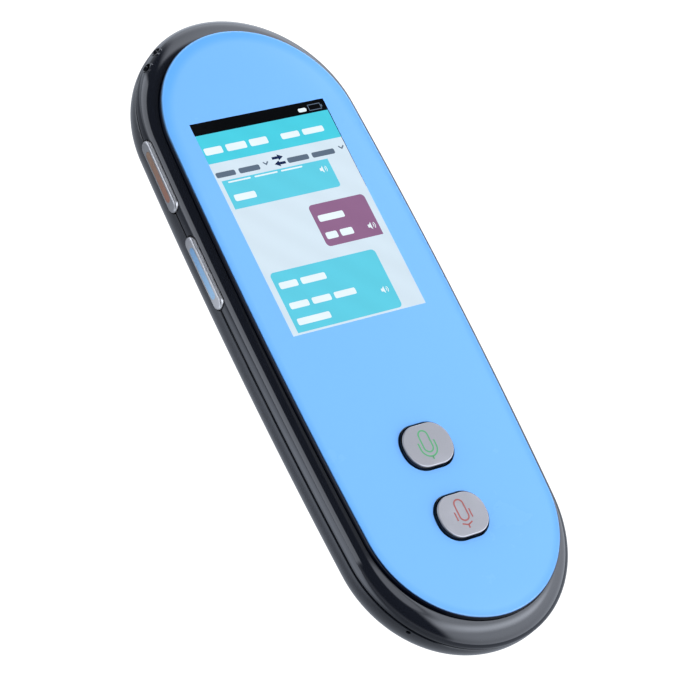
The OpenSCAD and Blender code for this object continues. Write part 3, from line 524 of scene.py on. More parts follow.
EDGE_DISTANCE = make_edge_distance()
RAMP_MM = 4.0


def ramp(tree, fac, stops):
    node = add(tree, "ShaderNodeValToRGB", {0: fac})
    points = node.color_ramp.elements
    while len(points) < len(stops):
        points.new(0.5)
    for point, (place, colour) in zip(points, stops):
        point.position = place
        point.color = (*colour, 1)
    return node.outputs[0]


def panel_paint_with_edge_light():
    material, tree, shader = start("panel_blue_paint")
    edge = use(tree, EDGE_DISTANCE)["Millimetres"]
    # Both ramps paint shade into the colour, so the very edge goes dark. The second also paints a
    # highlight, a pale line just inside the edge, with a deeper blue band of painted shade inside that.
    even = ramp(tree, edge / RAMP_MM, [
        (0.0, (0.001, 0.002, 0.006)), (0.04, (0.002, 0.006, 0.02)), (0.065, (0.05, 0.17, 0.36)),
        (0.1, (0.155, 0.43, 0.88)), (0.5, (0.215, 0.51, 1.0))])
    glint_and_deep_band = ramp(tree, edge / RAMP_MM, [
        (0.0, (0.001, 0.002, 0.008)), (0.02, (0.03, 0.09, 0.17)), (0.07, (0.2, 0.5, 0.94)),
        (0.16, (0.13, 0.42, 0.92)), (0.4, (0.14, 0.43, 0.94)), (0.75, (0.2, 0.49, 0.99))])
    along = axes(tree, object_place(tree))[1]
    far_end = spread(tree, along, 0.7 * NOSE_Y, NOSE_Y + 0.6 * NOSE_R)
    grain = use(tree, GRAIN, Grains_per_mm=16.0, Height=0.1, Tone=0.02)
    fill(tree, shader, {
        "Base Color": tinted(tree, mixed(tree, far_end, even, glint_and_deep_band), grain["Tone"]),
        "Roughness": touched(tree, 0.24, 0.29, 18.0),
        "Normal": bumped(tree, noise(tree, 260.0, 1.0), 0.15, 0.003 * MM),
        "Coat Weight": spread(tree, edge, 0.2, 0.42, 0.1, 1.0),
        "Specular IOR Level": 0.15, "Coat Roughness": 0.02})
    return material


panel_blue_with_edge_light = panel_paint_with_edge_light()
print("paint ramps over", RAMP_MM, "mm:", panel_blue_with_edge_light.name)

# %% [markdown]
# ## The front panel as a rule
#
# The panel's shape follows one rule: walk round the outline and, at each step, place the points of a
# small edge profile. A grid of points can be bent into that with Geometry Nodes. Its columns are steps
# along the outline and its rows climb the rounded edge. Half the outline is made and the other half is
# the same mesh turned by 180 degrees. The flat top and bottom are filled curves, with the key openings
# as inner loops, and each opening gets its wall by extruding its loop.
#
# The tree has named inputs for its sizes, so a thicker or rounder panel needs only other numbers.

# %% Tools for geometry node trees
def outline_angle(tree, column, side_steps, total_steps, swing):
    """Direction of the outline's normal at a column: slow along the side, then round the nose."""
    along_side = spread(tree, column, 0.0, side_steps, swing * -1.0, swing)
    round_nose = spread(tree, column, side_steps, total_steps, 0.0, swing * -2.0 + math.pi)
    return along_side + round_nose


def moved(tree, geometry, **values):
    return made(tree, "GeometryNodeTransform", {"Geometry": geometry, **values})


def joined(tree, parts):
    node = tree.nodes.new("GeometryNodeJoinGeometry")
    for part in parts:
        tree.links.new(part, node.inputs[0])
    return node.outputs[0]


def hand_out(tree, leave, geometry, material):
    """Makes instances real, gives the mesh its material and passes it out of the tree."""
    solid = made(tree, "GeometryNodeRealizeInstances", {"Geometry": geometry})
    painted = made(tree, "GeometryNodeSetMaterial", {"Geometry": solid, "Material": material})
    fill(tree, leave, {"Geometry": painted})


def grown(name, group, **values):
    """Runs a tree on an empty object and returns its result as a plain mesh object.

    A modifier keeps its inputs under the socket's identifier, not under its name."""
    holder = placed(name + "_holder", bpy.data.meshes.new(name + "_seed"))
    modifier = holder.modifiers.new("grow", "NODES")
    modifier.node_group = group
    for item in group.interface.items_tree:
        if item.in_out == "INPUT":
            modifier[item.identifier] = values[item.name.replace(" ", "_")]
    bpy.context.view_layer.update()
    graph = bpy.context.evaluated_depsgraph_get()
    mesh = bpy.data.meshes.new_from_object(holder.evaluated_get(graph))
    bpy.data.objects.remove(holder)
    mesh.name = name
    return placed(name, mesh)


def new_piece(name, work, material):
    """Turns a bmesh into an object with one material."""
    mesh = bpy.data.meshes.new(name)
    work.to_mesh(mesh)
    work.free()
    mesh.materials.append(material)
    return placed(name, mesh)


print("tools ready")

# %% The panel's tree
SIDE_STEPS, NOSE_STEPS, EDGE_STEPS, CORNER_STEPS = 20, 96, 10, 12
WELD = 0.001 * MM


def panel_tree():
    group, size, leave = new_group(
        "panel_rule", "GeometryNodeTree",
        {"Nose distance": 0.045, "Bow": 0.001, "Nose radius": 0.023, "Low": 0.0125, "High": 0.014,
         "Edge radius": 0.0009, "Opening width": 0.0136, "Opening length": 0.0102,
         "Opening radius": 0.0045, "Upper opening": -0.031, "Lower opening": -0.0467},
        {"Geometry": "NodeSocketGeometry"})
    bow, nose_y, edge, high, low = (
        size[label] for label in ("Bow", "Nose distance", "Edge radius", "High", "Low"))

    # a flat grid; a point's place in it says how far along the outline and up the edge it goes
    steps = SIDE_STEPS + NOSE_STEPS
    rows = EDGE_STEPS + 2
    grid = made(group, "GeometryNodeMeshGrid", {
        "Size X": 1.0, "Size Y": 1.0, "Vertices X": steps + 1, "Vertices Y": rows})
    across, up, height = axes(group, made(group, "GeometryNodeInputPosition"))
    column = across * steps + steps / 2
    row = up * (rows - 1) + (rows - 1) / 2

    # the outline's arc at this column, the edge profile at this row
    far = (nose_y * nose_y - bow * bow) / (bow * 2.0)
    angle = outline_angle(group, column, SIDE_STEPS, steps, nose_y.math("ARCTAN2", far))
    on_side = column.math("LESS_THAN", SIDE_STEPS + 0.5)
    climb = spread(group, row, 1.0, rows - 1.0, 0.0, math.pi / 2)
    top = high + (climb.math("SINE") - 1.0) * edge
    inset = (climb.math("COSINE") - 1.0) * edge
    radius = size["Nose radius"] + (far + bow) * on_side + inset
    place = vector(
        group, radius * angle.math("COSINE") + far * on_side * -1.0,
        radius * angle.math("SINE") + nose_y * (1.0 - on_side),
        (low - top) * row.math("LESS_THAN", 0.5) + top)
    half = made(group, "GeometryNodeSetPosition", {"Geometry": grid, "Position": place})
    other = moved(group, half, Rotation=(0, 0, math.pi))
    wall = made(group, "GeometryNodeMergeByDistance", {
        "Geometry": joined(group, [half, other]), "Distance": WELD})

    # the outlines of the two key openings
    loops = []
    for label in ("Upper opening", "Lower opening"):
        box = made(group, "GeometryNodeCurvePrimitiveQuadrilateral", {
            "Width": size["Opening width"], "Height": size["Opening length"]})
        soft = made(group, "GeometryNodeFilletCurve", {
            "Curve": box, "Radius": size["Opening radius"], "Count": CORNER_STEPS}, mode="POLY")
        loops.append(moved(group, soft, Translation=vector(group, y=size[label])))

    # the flat top and bottom, filled between the wall's rims and the openings
    faces = made(group, "GeometryNodeInputMeshEdgeNeighbors")
    is_rim = made(group, "FunctionNodeCompare", {2: faces, 3: 1}, data_type="INT", operation="EQUAL")
    middle = (low + high) * 0.5
    parts = [wall]
    for level, test, flip in ((high, "GREATER_THAN", False), (low, "LESS_THAN", True)):
        both = made(group, "FunctionNodeBooleanMath", {
            0: is_rim, 1: height.math(test, middle)}, operation="AND")
        rim = made(group, "GeometryNodeMeshToCurve", {"Mesh": wall, "Selection": both})
        lid = made(group, "GeometryNodeFillCurve", {
            "Curve": joined(group, [rim] + loops)}, mode="NGONS")
        sheet = moved(group, lid, Translation=vector(group, z=level))
        if flip:
            sheet = made(group, "GeometryNodeFlipFaces", {"Mesh": sheet})
        parts.append(sheet)

    # the walls of the openings
    for curve in loops:
        ring = made(group, "GeometryNodeCurveToMesh", {"Curve": curve})
        sides = made(group, "GeometryNodeExtrudeMesh", {
            "Mesh": moved(group, ring, Translation=vector(group, z=low)),
            "Offset": vector(group, z=high - low), "Offset Scale": 1.0}, mode="EDGES")
        parts.append(sides)
    welded = made(group, "GeometryNodeMergeByDistance", {
        "Geometry": joined(group, parts), "Distance": 2 * WELD})
    hand_out(group, leave, welded, panel_blue_with_edge_light)
    return group


panel_group = panel_tree()
print(panel_group.name, "has", len(panel_group.nodes), "nodes")


# %% The glossy panel
def smooth(work, crease):
    """Smooths all faces, and all edges that are flatter than crease degrees."""
    for face in work.faces:
        face.smooth = True
    for edge in work.edges:
        edge.smooth = edge.is_manifold and edge.calc_face_angle(0) < math.radians(crease)


def face_outwards(piece, crease=30):
    """Turns all faces outwards, smooths them and prints what was made and whether it is closed."""
    work = bmesh.new()
    work.from_mesh(piece.data)
    bmesh.ops.recalc_face_normals(work, faces=work.faces)
    smooth(work, crease)
    open_edges = sum(1 for edge in work.edges if not edge.is_manifold)
    sides = [[vert.co[i] for vert in work.verts] for i in range(3)]
    span = [round((max(side) - min(side)) / MM, 2) for side in sides]
    print(piece.name, len(work.faces), "faces, open edges", open_edges, "span", span, "mm")
    work.to_mesh(piece.data)
    work.free()


EDGE_R, OPENING_R = 0.5 * MM, 4.7 * MM
KEY_LIP = 1 * MM
KEY_GAP = 0.3 * MM
key_low, key_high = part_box("talk_face_upper")
lower_low, lower_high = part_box("talk_face_lower")
button_low, button_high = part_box("talk_button_upper")
opening_w = button_high.x - button_low.x - 2 * KEY_LIP + 2 * KEY_GAP
opening_l = button_high.y - button_low.y - 2 * KEY_LIP + 2 * KEY_GAP
panel = grown(
    "front_panel_glossy", panel_group, Nose_distance=NOSE_Y, Bow=BOW, Nose_radius=NOSE_R,
    Low=panel_low.z, High=panel_high.z, Edge_radius=EDGE_R, Opening_width=opening_w,
    Opening_length=opening_l, Opening_radius=OPENING_R, Upper_opening=(key_low.y + key_high.y) / 2,
    Lower_opening=(lower_low.y + lower_high.y) / 2)
face_outwards(panel)
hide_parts("front_panel")
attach(panel, "housing")

# %% [markdown]
# ## Polished shells
#
# Gloss is merciless: a mirror image bends wherever the surface does, so the long flat facets that a CAD
# mesh is made of break the reflections along the rim. The shells keep all their measured openings, but
# their outer skin is made finer. A copy of the mesh is merged and the faces that lie on the skin are
# marked. Their long edges are halved again and again, the mark goes on to the new faces, and every new
# point is moved onto the true surface: an arc for the shoulder and a larger arc for the belly, both led
# round the outline. At the noses the rim is not as wide as at the sides, so there the shoulder becomes
# an ellipse that is just as wide as the rim. The same rule gives each corner its exact normal, so the
# light band runs without a kink.

# %% The true skin of the body
shell_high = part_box("front_housing")[1]
BODY_R = to_tenth(shell_high.x) - BOW
BODY_NOSE_Y = to_tenth(shell_high.y) - BODY_R
BODY_FAR = (BODY_NOSE_Y ** 2 - BOW ** 2) / (2 * BOW)
SHOULDER_R = 3.2 * MM
SHOULDER_Z = shell_high.z - SHOULDER_R
BELLY_R = 9.5 * MM
BELLY_Z = 8.2 * MM
SIDE_RIM = BODY_R - NOSE_R


def body_arc(x, y):
    """The arc of the body's outline next to a point: its centre, its radius, and the way out."""
    if abs(y) - BODY_NOSE_Y > abs(x) * BODY_NOSE_Y / BODY_FAR:
        centre, radius = Vector((0, math.copysign(BODY_NOSE_Y, y), 0)), BODY_R
    else:
        centre, radius = Vector((-math.copysign(BODY_FAR, x), 0, 0)), BODY_FAR + BOW + BODY_R
    return centre, radius, Vector((x, y, 0)) - centre


def true_skin(point):
    """How far a point is off the skin, the nearest point on it and the normal there."""
    x, y, z = point
    centre, radius, out = body_arc(x, y)
    offset = out.length - radius
    out.normalize()
    if BELLY_Z <= z <= SHOULDER_Z:
        return offset, centre + out * radius + Vector((0, 0, z)), out
    bend, level = (SHOULDER_R, SHOULDER_Z) if z > SHOULDER_Z else (BELLY_R, BELLY_Z)
    normal = out * (offset + bend) + Vector((0, 0, z - level))
    gap = normal.length - bend
    normal.normalize()
    return gap, centre + out * (radius - bend) + Vector((0, 0, level)) + normal * bend, normal


def rim_width(x, y):
    """How far a point lies outside the panel's outline."""
    if abs(y) - NOSE_Y > abs(x) * NOSE_Y / FAR:
        return math.hypot(x, abs(y) - NOSE_Y) - NOSE_R
    return math.hypot(abs(x) + FAR, y) - SIDE_R


def soft_shoulder(point):
    """Height and normal of the shoulder over a point, as an ellipse as wide as the rim allows."""
    centre, radius, out = body_arc(point[0], point[1])
    inset = radius - out.length
    out.normalize()
    brink = centre + out * radius
    wide = SHOULDER_R * rim_width(brink.x, brink.y) / SIDE_RIM
    across = min(1.0, max(0.0, 1 - inset / wide))
    up = math.sqrt(1 - across * across)
    normal = out * across / wide + Vector((0, 0, up / SHOULDER_R))
    return SHOULDER_Z + SHOULDER_R * up, normal.normalized()


print("body nose radius", round(BODY_R / MM, 2), "mm, side radius",
      round((BODY_FAR + BOW + BODY_R) / MM, 1), "mm")
print("rim", round(SIDE_RIM / MM, 2), "mm at the sides,",
      round(rim_width(0, shell_high.y) / MM, 2), "mm at the ends")


# %% Finer copies of the shells
ON_SKIN = 0.02 * MM  # how far a corner of a skin face may be off the skin
SAG = 0.9 * MM  # how far the middle of a long flat facet may be off it
SKIN_FACING, RIM_FACING = 0.5, 0.8  # least cosine between a face's normal and the skin's
LONGEST = 0.9 * MM
HALVINGS = 4
CREASE = 28
FLAT = 0.0001 * MM


def on_skin(face):
    """True for a face of the flat rim top, and for one with corners on the skin that faces its way."""
    if all(abs(vert.co.z - shell_high.z) < ON_SKIN for vert in face.verts):
        return face.normal.z > RIM_FACING
    if not all(abs(true_skin(vert.co)[0]) < ON_SKIN for vert in face.verts):
        return False
    gap, _, normal = true_skin(face.calc_center_median())
    return abs(gap) < SAG and face.normal.dot(normal) > SKIN_FACING


def refine(work, mark):
    """Halves the long edges of the marked faces and moves the new points onto the true skin."""
    for _ in range(HALVINGS):
        edges = {edge for face in work.faces if face[mark] for edge in face.edges
                 if edge.calc_length() > LONGEST}
        if not edges:
            break
        added = bmesh.ops.subdivide_edges(work, edges=list(edges), cuts=1)["geom_inner"]
        for vert in added:
            if isinstance(vert, bmesh.types.BMVert) and abs(vert.co.z - shell_high.z) > FLAT:
                vert.co = true_skin(vert.co)[1]
        bmesh.ops.triangulate(work, faces=[face for face in work.faces if len(face.verts) > 3])


def polished_copy(name, node, material):
    """A copy of a shell with a fine outer skin and exact normals, which stands in for the node."""
    work = bmesh.new()
    work.from_mesh(nodes[node].data)
    bmesh.ops.remove_doubles(work, verts=work.verts, dist=WELD)
    mark = work.faces.layers.int.new("skin")
    for face in work.faces:
        face[mark] = on_skin(face)
    refine(work, mark)
    work.normal_update()
    smooth(work, CREASE)
    for face in work.faces:
        face.material_index = 0
    work.faces.index_update()
    skin_faces = {face.index for face in work.faces if face[mark]}
    work.faces.ensure_lookup_table()
    for vert in {vert for index in skin_faces for vert in work.faces[index].verts}:
        if vert.co.z > SHOULDER_Z:
            vert.co.z = soft_shoulder(vert.co)[0]
    work.faces.layers.int.remove(mark)
    piece = new_piece(name, work, material)
    mesh = piece.data
    normals = [corner.vector.copy() for corner in mesh.corner_normals]
    for index in skin_faces:
        for loop in mesh.polygons[index].loop_indices:
            corner = mesh.vertices[mesh.loops[loop].vertex_index].co
            rounded = corner.z > SHOULDER_Z
            normals[loop] = soft_shoulder(corner)[1] if rounded else true_skin(corner)[2]
    mesh.normals_split_custom_set(normals)
    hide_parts(node)
    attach(piece, "housing")
    print(name, len(mesh.polygons), "faces,", len(skin_faces), "on the skin")


polished_copy("front_shell_polished", "front_housing", shell)
polished_copy("rear_shell_polished", "rear_housing", shell)

# %% [markdown]
# ## The woven mesh of the speaker
#
# A fine steel weave behind the sound holes keeps lint out. Each wire runs over one neighbour and under
# the next, and the next wire does the opposite. It could be one patterned plate, but what repeats is
# better told as a rule: one wavy wire, copied along a line, and every second copy turned upside down.
# The crossing wires are the same thing turned by a quarter.

# %% The weave's tree
WEAVE_PITCH = 0.3 * MM
WEAVE_MARGIN = 0.5 * MM
WIRE_SHARE = 0.2


def weave_tree():
    group, size, leave = new_group(
        "weave", "GeometryNodeTree",
        {"Across": 0.008, "Along": 0.004, "Pitch": 0.0003, "Wire radius": 0.00003, "Wave": 0.00003,
         "Place": (0.0, 0.0, 0.0)},
        {"Geometry": "NodeSocketGeometry"})
    pitch = size["Pitch"]
    ring = made(group, "GeometryNodeCurvePrimitiveCircle", {
        "Resolution": 5, "Radius": size["Wire radius"]})
    order = Signal(group, made(group, "GeometryNodeInputIndex"))
    rise = vector(group, z=(order * math.pi).math("COSINE") * size["Wave"])
    counts = {side: (size[side] / pitch / 2.0).math("FLOOR") * 2.0 for side in ("Across", "Along")}
    layers = []
    for quarter, (run, step) in enumerate((("Across", "Along"), ("Along", "Across"))):
        half_run = counts[run] * pitch * 0.5
        half_step = counts[step] * pitch * 0.5
        line = made(group, "GeometryNodeCurvePrimitiveLine", {
            "Start": vector(group, half_run * -1.0), "End": vector(group, half_run)})
        dots = made(group, "GeometryNodeResampleCurve", {"Curve": line, "Count": counts[run] + 1.0})
        wavy = made(group, "GeometryNodeSetPosition", {"Geometry": dots, "Offset": rise})
        wire = made(group, "GeometryNodeCurveToMesh", {
            "Curve": wavy, "Profile Curve": ring, "Fill Caps": True})
        for odd in (0, 1):
            spots = made(group, "GeometryNodeMeshLine", {
                "Count": counts[step] * 0.5 + (1.0 - odd),
                "Start Location": vector(group, y=pitch * float(odd) - half_step),
                "Offset": vector(group, y=pitch * 2.0)})
            copies = made(group, "GeometryNodeInstanceOnPoints", {
                "Points": spots, "Instance": wire,
                "Rotation": ((odd + quarter) * math.pi, 0.0, 0.0)})
            layers.append(moved(group, copies, Translation=size["Place"],
                                Rotation=(0.0, 0.0, quarter * math.pi / 2)))
    hand_out(group, leave, joined(group, layers), steel)
    return group


mesh_low, mesh_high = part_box("speaker_mesh")
mesh_span = mesh_high - mesh_low
weave = grown(
    "speaker_weave", weave_tree(), Across=mesh_span.x - WEAVE_MARGIN, Along=mesh_span.y - WEAVE_MARGIN,
    Pitch=WEAVE_PITCH, Wire_radius=WIRE_SHARE * mesh_span.z, Wave=WIRE_SHARE * mesh_span.z,
    Place=tuple((mesh_low + mesh_high) / 2))
face_outwards(weave, 60)
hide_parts("speaker_mesh")
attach(weave, "housing")

# %% [markdown]
# ## Thin layers for the screen
#
# The lit picture lies directly behind the clear panel, so it looks printed on top of it. Each area of
# the picture is a very thin plate of its own, and the plates are stacked a hundredth of a millimetre
# apart so that none of them share a plane. One helper turns an outline into such a plate, with rounded
# corners where the picture has them.

# %% Plates
def rounded_outline(x0, y0, x1, y1, radii=(0, 0, 0, 0), steps=6):
    """Corners anticlockwise from the lower left; radii in the same order. Millimetres."""
    points = []
    corners = [(x0, y0, 180), (x1, y0, 270), (x1, y1, 0), (x0, y1, 90)]
    for (x, y, first), r in zip(corners, radii):
        if r <= 0:
            points.append((x, y))
            continue
        cx = x0 + r if x == x0 else x1 - r
        cy = y0 + r if y == y0 else y1 - r
        for step in range(steps + 1):
            turn = math.radians(first + 90 * step / steps)
            points.append((cx + r * math.cos(turn), cy + r * math.sin(turn)))
    return points


def add_plate(work, points, low, high):
    """Adds a closed plate with this outline to a bmesh. All in millimetres."""
    under = [work.verts.new((x * MM, y * MM, low * MM)) for x, y in points]
    over = [work.verts.new((x * MM, y * MM, high * MM)) for x, y in points]
    work.faces.new(over)
    work.faces.new(list(reversed(under)))
    for i in range(len(points)):
        j = (i + 1) % len(points)
        work.faces.new((under[i], under[j], over[j], over[i]))


def hand_in(name, work, material, body="housing"):
    """Makes a thin layer a piece of the object that moves with a body."""
    bmesh.ops.recalc_face_normals(work, faces=work.faces)
    piece = new_piece(name, work, material)
    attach(piece, body)


def plates(name, outlines, span, material):
    """Plates of one material; span is the pair of their lower and upper height."""
    work = bmesh.new()
    for points in outlines:
        add_plate(work, points, *span)
    hand_in(name, work, material)


print("plate helper ready")

# %% [markdown]
# ## Light from the screen
#
# A screen shines by itself, but its colours must not wash out: most of the colour is given as emission
# and little as paint. Very fine diagonal lines show on the real one, where the pixel grid and the eye
# of the camera beat against each other, so a wave texture with a small amplitude is mixed in.

# %% Screen light
SCREEN_GLOW = 0.86
SCREEN_PAINT = 0.18
WAVES_PER_TURN = 20


def make_screen_lines():
    group, size, leave = new_group(
        "screen_lines", "ShaderNodeTree", {"Lines per mm": 1.4, "Depth": 0.03, "Drift": 0.04},
        {"Tone": NUMBER})
    wave = add(group, "ShaderNodeTexWave", {
        "Vector": object_place(group), "Scale": size["Lines per mm"] * (MM_PER_M / WAVES_PER_TURN),
        "Distortion": 0.6}, bands_direction="DIAGONAL")
    swing = (Signal(group, wave.outputs[1]) - 0.5) * size["Depth"]
    drift = (noise(group, 40.0, 1.0) - 0.5) * size["Drift"]
    fill(group, leave, {"Tone": swing + drift + 1.0})
    return group


SCREEN_LINES = make_screen_lines()


def from_screen(colour):
    """Screen colours are given 0 to 255; shaders want linear light."""
    return tuple(c / 255 / 12.92 if c < 11 else ((c / 255 + 0.055) / 1.055) ** 2.4 for c in colour)


def lit(name, *colour, depth=0.03):
    """A lit area of the screen; depth is how strongly the fine lines show."""
    material, tree, shader = start(name)
    tone = tinted(tree, from_screen(colour), use(tree, SCREEN_LINES, Depth=depth)["Tone"])
    fill(tree, shader, {
        "Base Color": tinted(tree, tone, SCREEN_PAINT), "Emission Color": tone,
        "Emission Strength": SCREEN_GLOW, "Roughness": touched(tree, 0.1, 0.2, 18.0),
        "Specular IOR Level": 0.1, "Coat Weight": 1.0, "Coat Roughness": 0.03})
    return material


screen_pale = lit("screen_pale", 216, 232, 242)
screen_teal = lit("screen_teal", 76, 208, 226)
screen_sky = lit("screen_sky", 98, 207, 228)
screen_purple = lit("screen_purple", 146, 104, 140)
screen_black = lit("screen_black", 1, 2, 4, depth=0.0)
screen_white = lit("screen_white", 236, 248, 251)
screen_slate = lit("screen_slate", 96, 112, 130)
screen_navy = lit("screen_navy", 24, 40, 80)
print("screen colours ready")

# %% [markdown]
# ## What the screen shows
#
# The picture is a conversation: a header, a row with the two languages, and three speech bubbles. No
# words are written. Each word is a bar of its length, as designers use in a first layout.

# %% The picture on the screen
GLASS = panel_high.z / MM
LEFT, RIGHT, LOW, TOP = -17.4, 16.4, -1.25, 48.6
LAYER, SUNK = 0.012, 0.004
GROUND = (GLASS - SUNK, GLASS + LAYER)
AREAS = (GLASS + LAYER, GLASS + 2 * LAYER)
PRINT = (GLASS + 2 * LAYER, GLASS + 3 * LAYER)


def words(y0, y1, *spans, r=0.35):
    """One line of word bars, from its baseline to its top. A bar is as high as small letters are."""
    y1 = y0 + 0.68 * (y1 - y0)
    return [rounded_outline(a, y0, b, y1, (r, r, r, r), 4) for a, b in spans]


plates("screen_ground", [rounded_outline(LEFT, LOW, RIGHT, TOP)], GROUND, screen_pale)
plates("screen_status_bar", [rounded_outline(LEFT, 45.8, RIGHT, TOP)], AREAS, screen_black)
plates("screen_side_shadow", [
    [(RIGHT, 27.0), (RIGHT + 0.06, 27.0), (RIGHT + 0.24, TOP), (RIGHT, TOP)],
], GROUND, screen_black)
plates("screen_header", [rounded_outline(LEFT, 39.1, RIGHT, 45.8)], AREAS, screen_teal)
plates("screen_bubbles", [
    rounded_outline(-16.4, 28.2, 10.5, 34.9, (0, 0.7, 0, 0)),
    rounded_outline(-16.0, -0.8, 10.7, 13.0, (0, 1, 1, 1)),
], AREAS, screen_sky)
plates("screen_reply", [rounded_outline(0.3, 15.7, 14.7, 25.5, (1, 0, 1, 1))], AREAS, screen_purple)
plates("screen_words_white",
       words(41.1, 43.5, (-17.0, -12.6), (-11.6, -6.6), (-5.7, -1.2))
       + words(41.2, 43.2, (2.3, 6.9), (7.8, 13.2))
       + words(34.2, 34.7, (-15.0, -9.4), (-8.4, -2.6), (-1.7, 3.7), r=0.15)
       + words(29.9, 32.1, (-15.3, -10.0))
       + words(21.4, 23.6, (1.4, 7.9))
       + words(17.3, 19.6, (1.2, 4.1), (4.9, 8.1))
       + words(9.1, 11.3, (-15.0, -10.5), (-9.6, -3.4))
       + words(4.4, 6.5, (-14.9, -10.2), (-9.3, -4.6), (-3.7, 1.7))
       + words(0.7, 2.9, (-14.9, -6.7)),
       PRINT, screen_white)
plates("screen_words_slate",
       words(35.7, 37.5, (-17.0, -12.2), (-11.3, -6.1)) + words(35.7, 37.5, (1.0, 6.4), (7.3, 13.1)),
       AREAS, screen_slate)
print("screen height over the panel", round(PRINT[1] - GLASS, 3), "mm")

# %% [markdown]
# ## Icons
#
# The small signs are strokes and wedges: arrows that mean swap, chevrons that open a list, a battery
# outline and a loudspeaker with its sound waves. A stroke is a thin band that follows a path. The
# points of the path are complex numbers, because there a product with 1j is a quarter turn, which
# leads from the way of the path to its left and right side.

# %% Strokes
SHARPEST = 0.3


def ribbon(points, width, closed):
    """The left and the right side of a band along a path, with mitred corners."""
    path = [complex(x, y) for x, y in points]
    ways = [(after - before) / abs(after - before) for before, after in zip(path, path[1:] + path[:1])]
    sides = []
    for i, point in enumerate(path):
        first = ways[i - 1] if closed or i > 0 else ways[0]
        second = ways[i] if closed or i < len(path) - 1 else ways[i - 1]
        normal = 1j * (first + second) / abs(first + second)
        cosine = (normal * (1j * first).conjugate()).real
        reach = normal * width / 2 / max(cosine, SHARPEST)
        sides.append((point + reach, point - reach))
    return sides


def add_ribbon(work, points, width, low, high, closed):
    """A closed band of box section along a path, in millimetres."""
    rings = []
    for left, right in ribbon(points, width, closed):
        rings.append([work.verts.new((spot.real * MM, spot.imag * MM, z * MM))
                      for spot, z in ((left, low), (right, low), (right, high), (left, high))])
    pairs = list(zip(rings, rings[1:]))
    if closed:
        pairs.append((rings[-1], rings[0]))
    for one, two in pairs:
        for i in range(4):
            j = (i + 1) % 4
            work.faces.new((one[i], two[i], two[j], one[j]))
    if not closed:
        work.faces.new(list(reversed(rings[0])))
        work.faces.new(rings[-1])


def ribbons(name, paths, span, material, body="housing"):
    """Paths are (points, width, closed)."""
    work = bmesh.new()
    for points, width, closed in paths:
        add_ribbon(work, points, width, *span, closed)
    hand_in(name, work, material, body)


print("stroke helpers ready")


# %% Icons
def arc(cx, cy, r, first, last, steps=10):
    """Points along an arc; angles in degrees."""
    turns = [math.radians(first + (last - first) * i / steps) for i in range(steps + 1)]
    return [(cx + r * math.cos(turn), cy + r * math.sin(turn)) for turn in turns]


def loudspeaker(x, y, size):
    """Cone as a plate, two waves as arcs; size is the icon's height."""
    s = size / 2
    cone = [(x - 0.9 * s, y - 0.35 * s), (x - 0.45 * s, y - 0.35 * s), (x, y - 0.85 * s),
            (x, y + 0.85 * s), (x - 0.45 * s, y + 0.35 * s), (x - 0.9 * s, y + 0.35 * s)]
    waves = [(arc(x + 0.1 * s, y, r * s, -50, 50), 0.16 * s, False) for r in (0.45, 0.85)]
    return cone, waves


speakers = [loudspeaker(8.3, 32.75, 1.9), loudspeaker(12.9, 18.1, 2.0), loudspeaker(8.4, 3.75, 1.9)]
plates("screen_speaker_cones", [cone for cone, waves in speakers], PRINT, screen_white)
ribbons("screen_speaker_waves", [w for cone, waves in speakers for w in waves], PRINT, screen_white)
ribbons("screen_chevrons", [
    ([(-4.9, 37.1), (-4.3, 36.5), (-3.7, 37.1)], 0.3, False),
    ([(14.5, 37.1), (15.15, 36.5), (15.8, 37.1)], 0.3, False),
], AREAS, screen_slate)
plates("screen_swap_arrows", [
    [(-2.4, 37.2), (-0.9, 37.2), (-0.9, 36.8), (0.4, 37.5), (-0.9, 38.2), (-0.9, 37.8), (-2.4, 37.8)],
    [(0.4, 36.4), (-1.1, 36.4), (-1.1, 36.8), (-2.4, 36.1), (-1.1, 35.4), (-1.1, 35.8), (0.4, 35.8)],
], AREAS, screen_navy)
ribbons("screen_battery_outline", [
    ([(12.1, 46.4), (15.2, 46.4), (15.2, 47.7), (12.1, 47.7)], 0.16, True),
    ([(15.45, 46.8), (15.45, 47.3)], 0.3, False),
], PRINT, screen_slate)
plates("screen_charge_bar", words(46.4, 47.7, (9.3, 11.4)), PRINT, screen_white)
print("icons done")

# %% [markdown]
# ## Microphone signs on the talk keys
#
# Each key carries a printed microphone: a capsule in a cradle on a short stem, green on one key and red
# on the other. The ink is a thin ribbon that lies on the metal, so it has its own matt finish and moves
# with its key.

# %% Signs
green_ink = plain("green_ink", (0.09, 0.38, 0.15), 0.5, grains=14.0, tone=0.3)
red_ink = plain("red_ink", (0.38, 0.085, 0.07), 0.5, grains=14.0, tone=0.3)
FACE = key_high.z / MM
INK = (FACE - 0.005, FACE + 0.015)


def capsule(x0, x1, y0, y1):
    r = (x1 - x0) / 2
    cx = (x0 + x1) / 2
    return arc(cx, y1 - r, r, 0, 180, 12) + arc(cx, y0 + r, r, 180, 360, 12)


ribbons("sign_green", [
    (capsule(-1.4, 0.8, -32.3, -27.6), 0.34, True),
    ([(-2.3, -30.0), (-2.3, -31.2)] + arc(-0.32, -31.3, 1.98, 180, 360, 14) + [(1.66, -30.0)],
     0.34, False),
    ([(-0.32, -33.3), (-0.32, -34.0)], 0.34, False),
], INK, green_ink, "upper_talk_key")
ribbons("sign_red", [
    (capsule(-1.1, 1.05, -47.9, -43.3), 0.34, True),
    ([(-1.88, -45.7), (-1.88, -47.6)], 0.32, False), ([(1.78, -45.7), (1.78, -47.6)], 0.32, False),
    ([(-1.3, -48.4), (0.0, -48.9), (1.2, -48.4)], 0.32, False),
    ([(0.0, -48.9), (0.0, -49.6)], 0.34, False),
], INK, red_ink, "lower_talk_key")
print("signs on the keys at", round(FACE, 2), "mm")
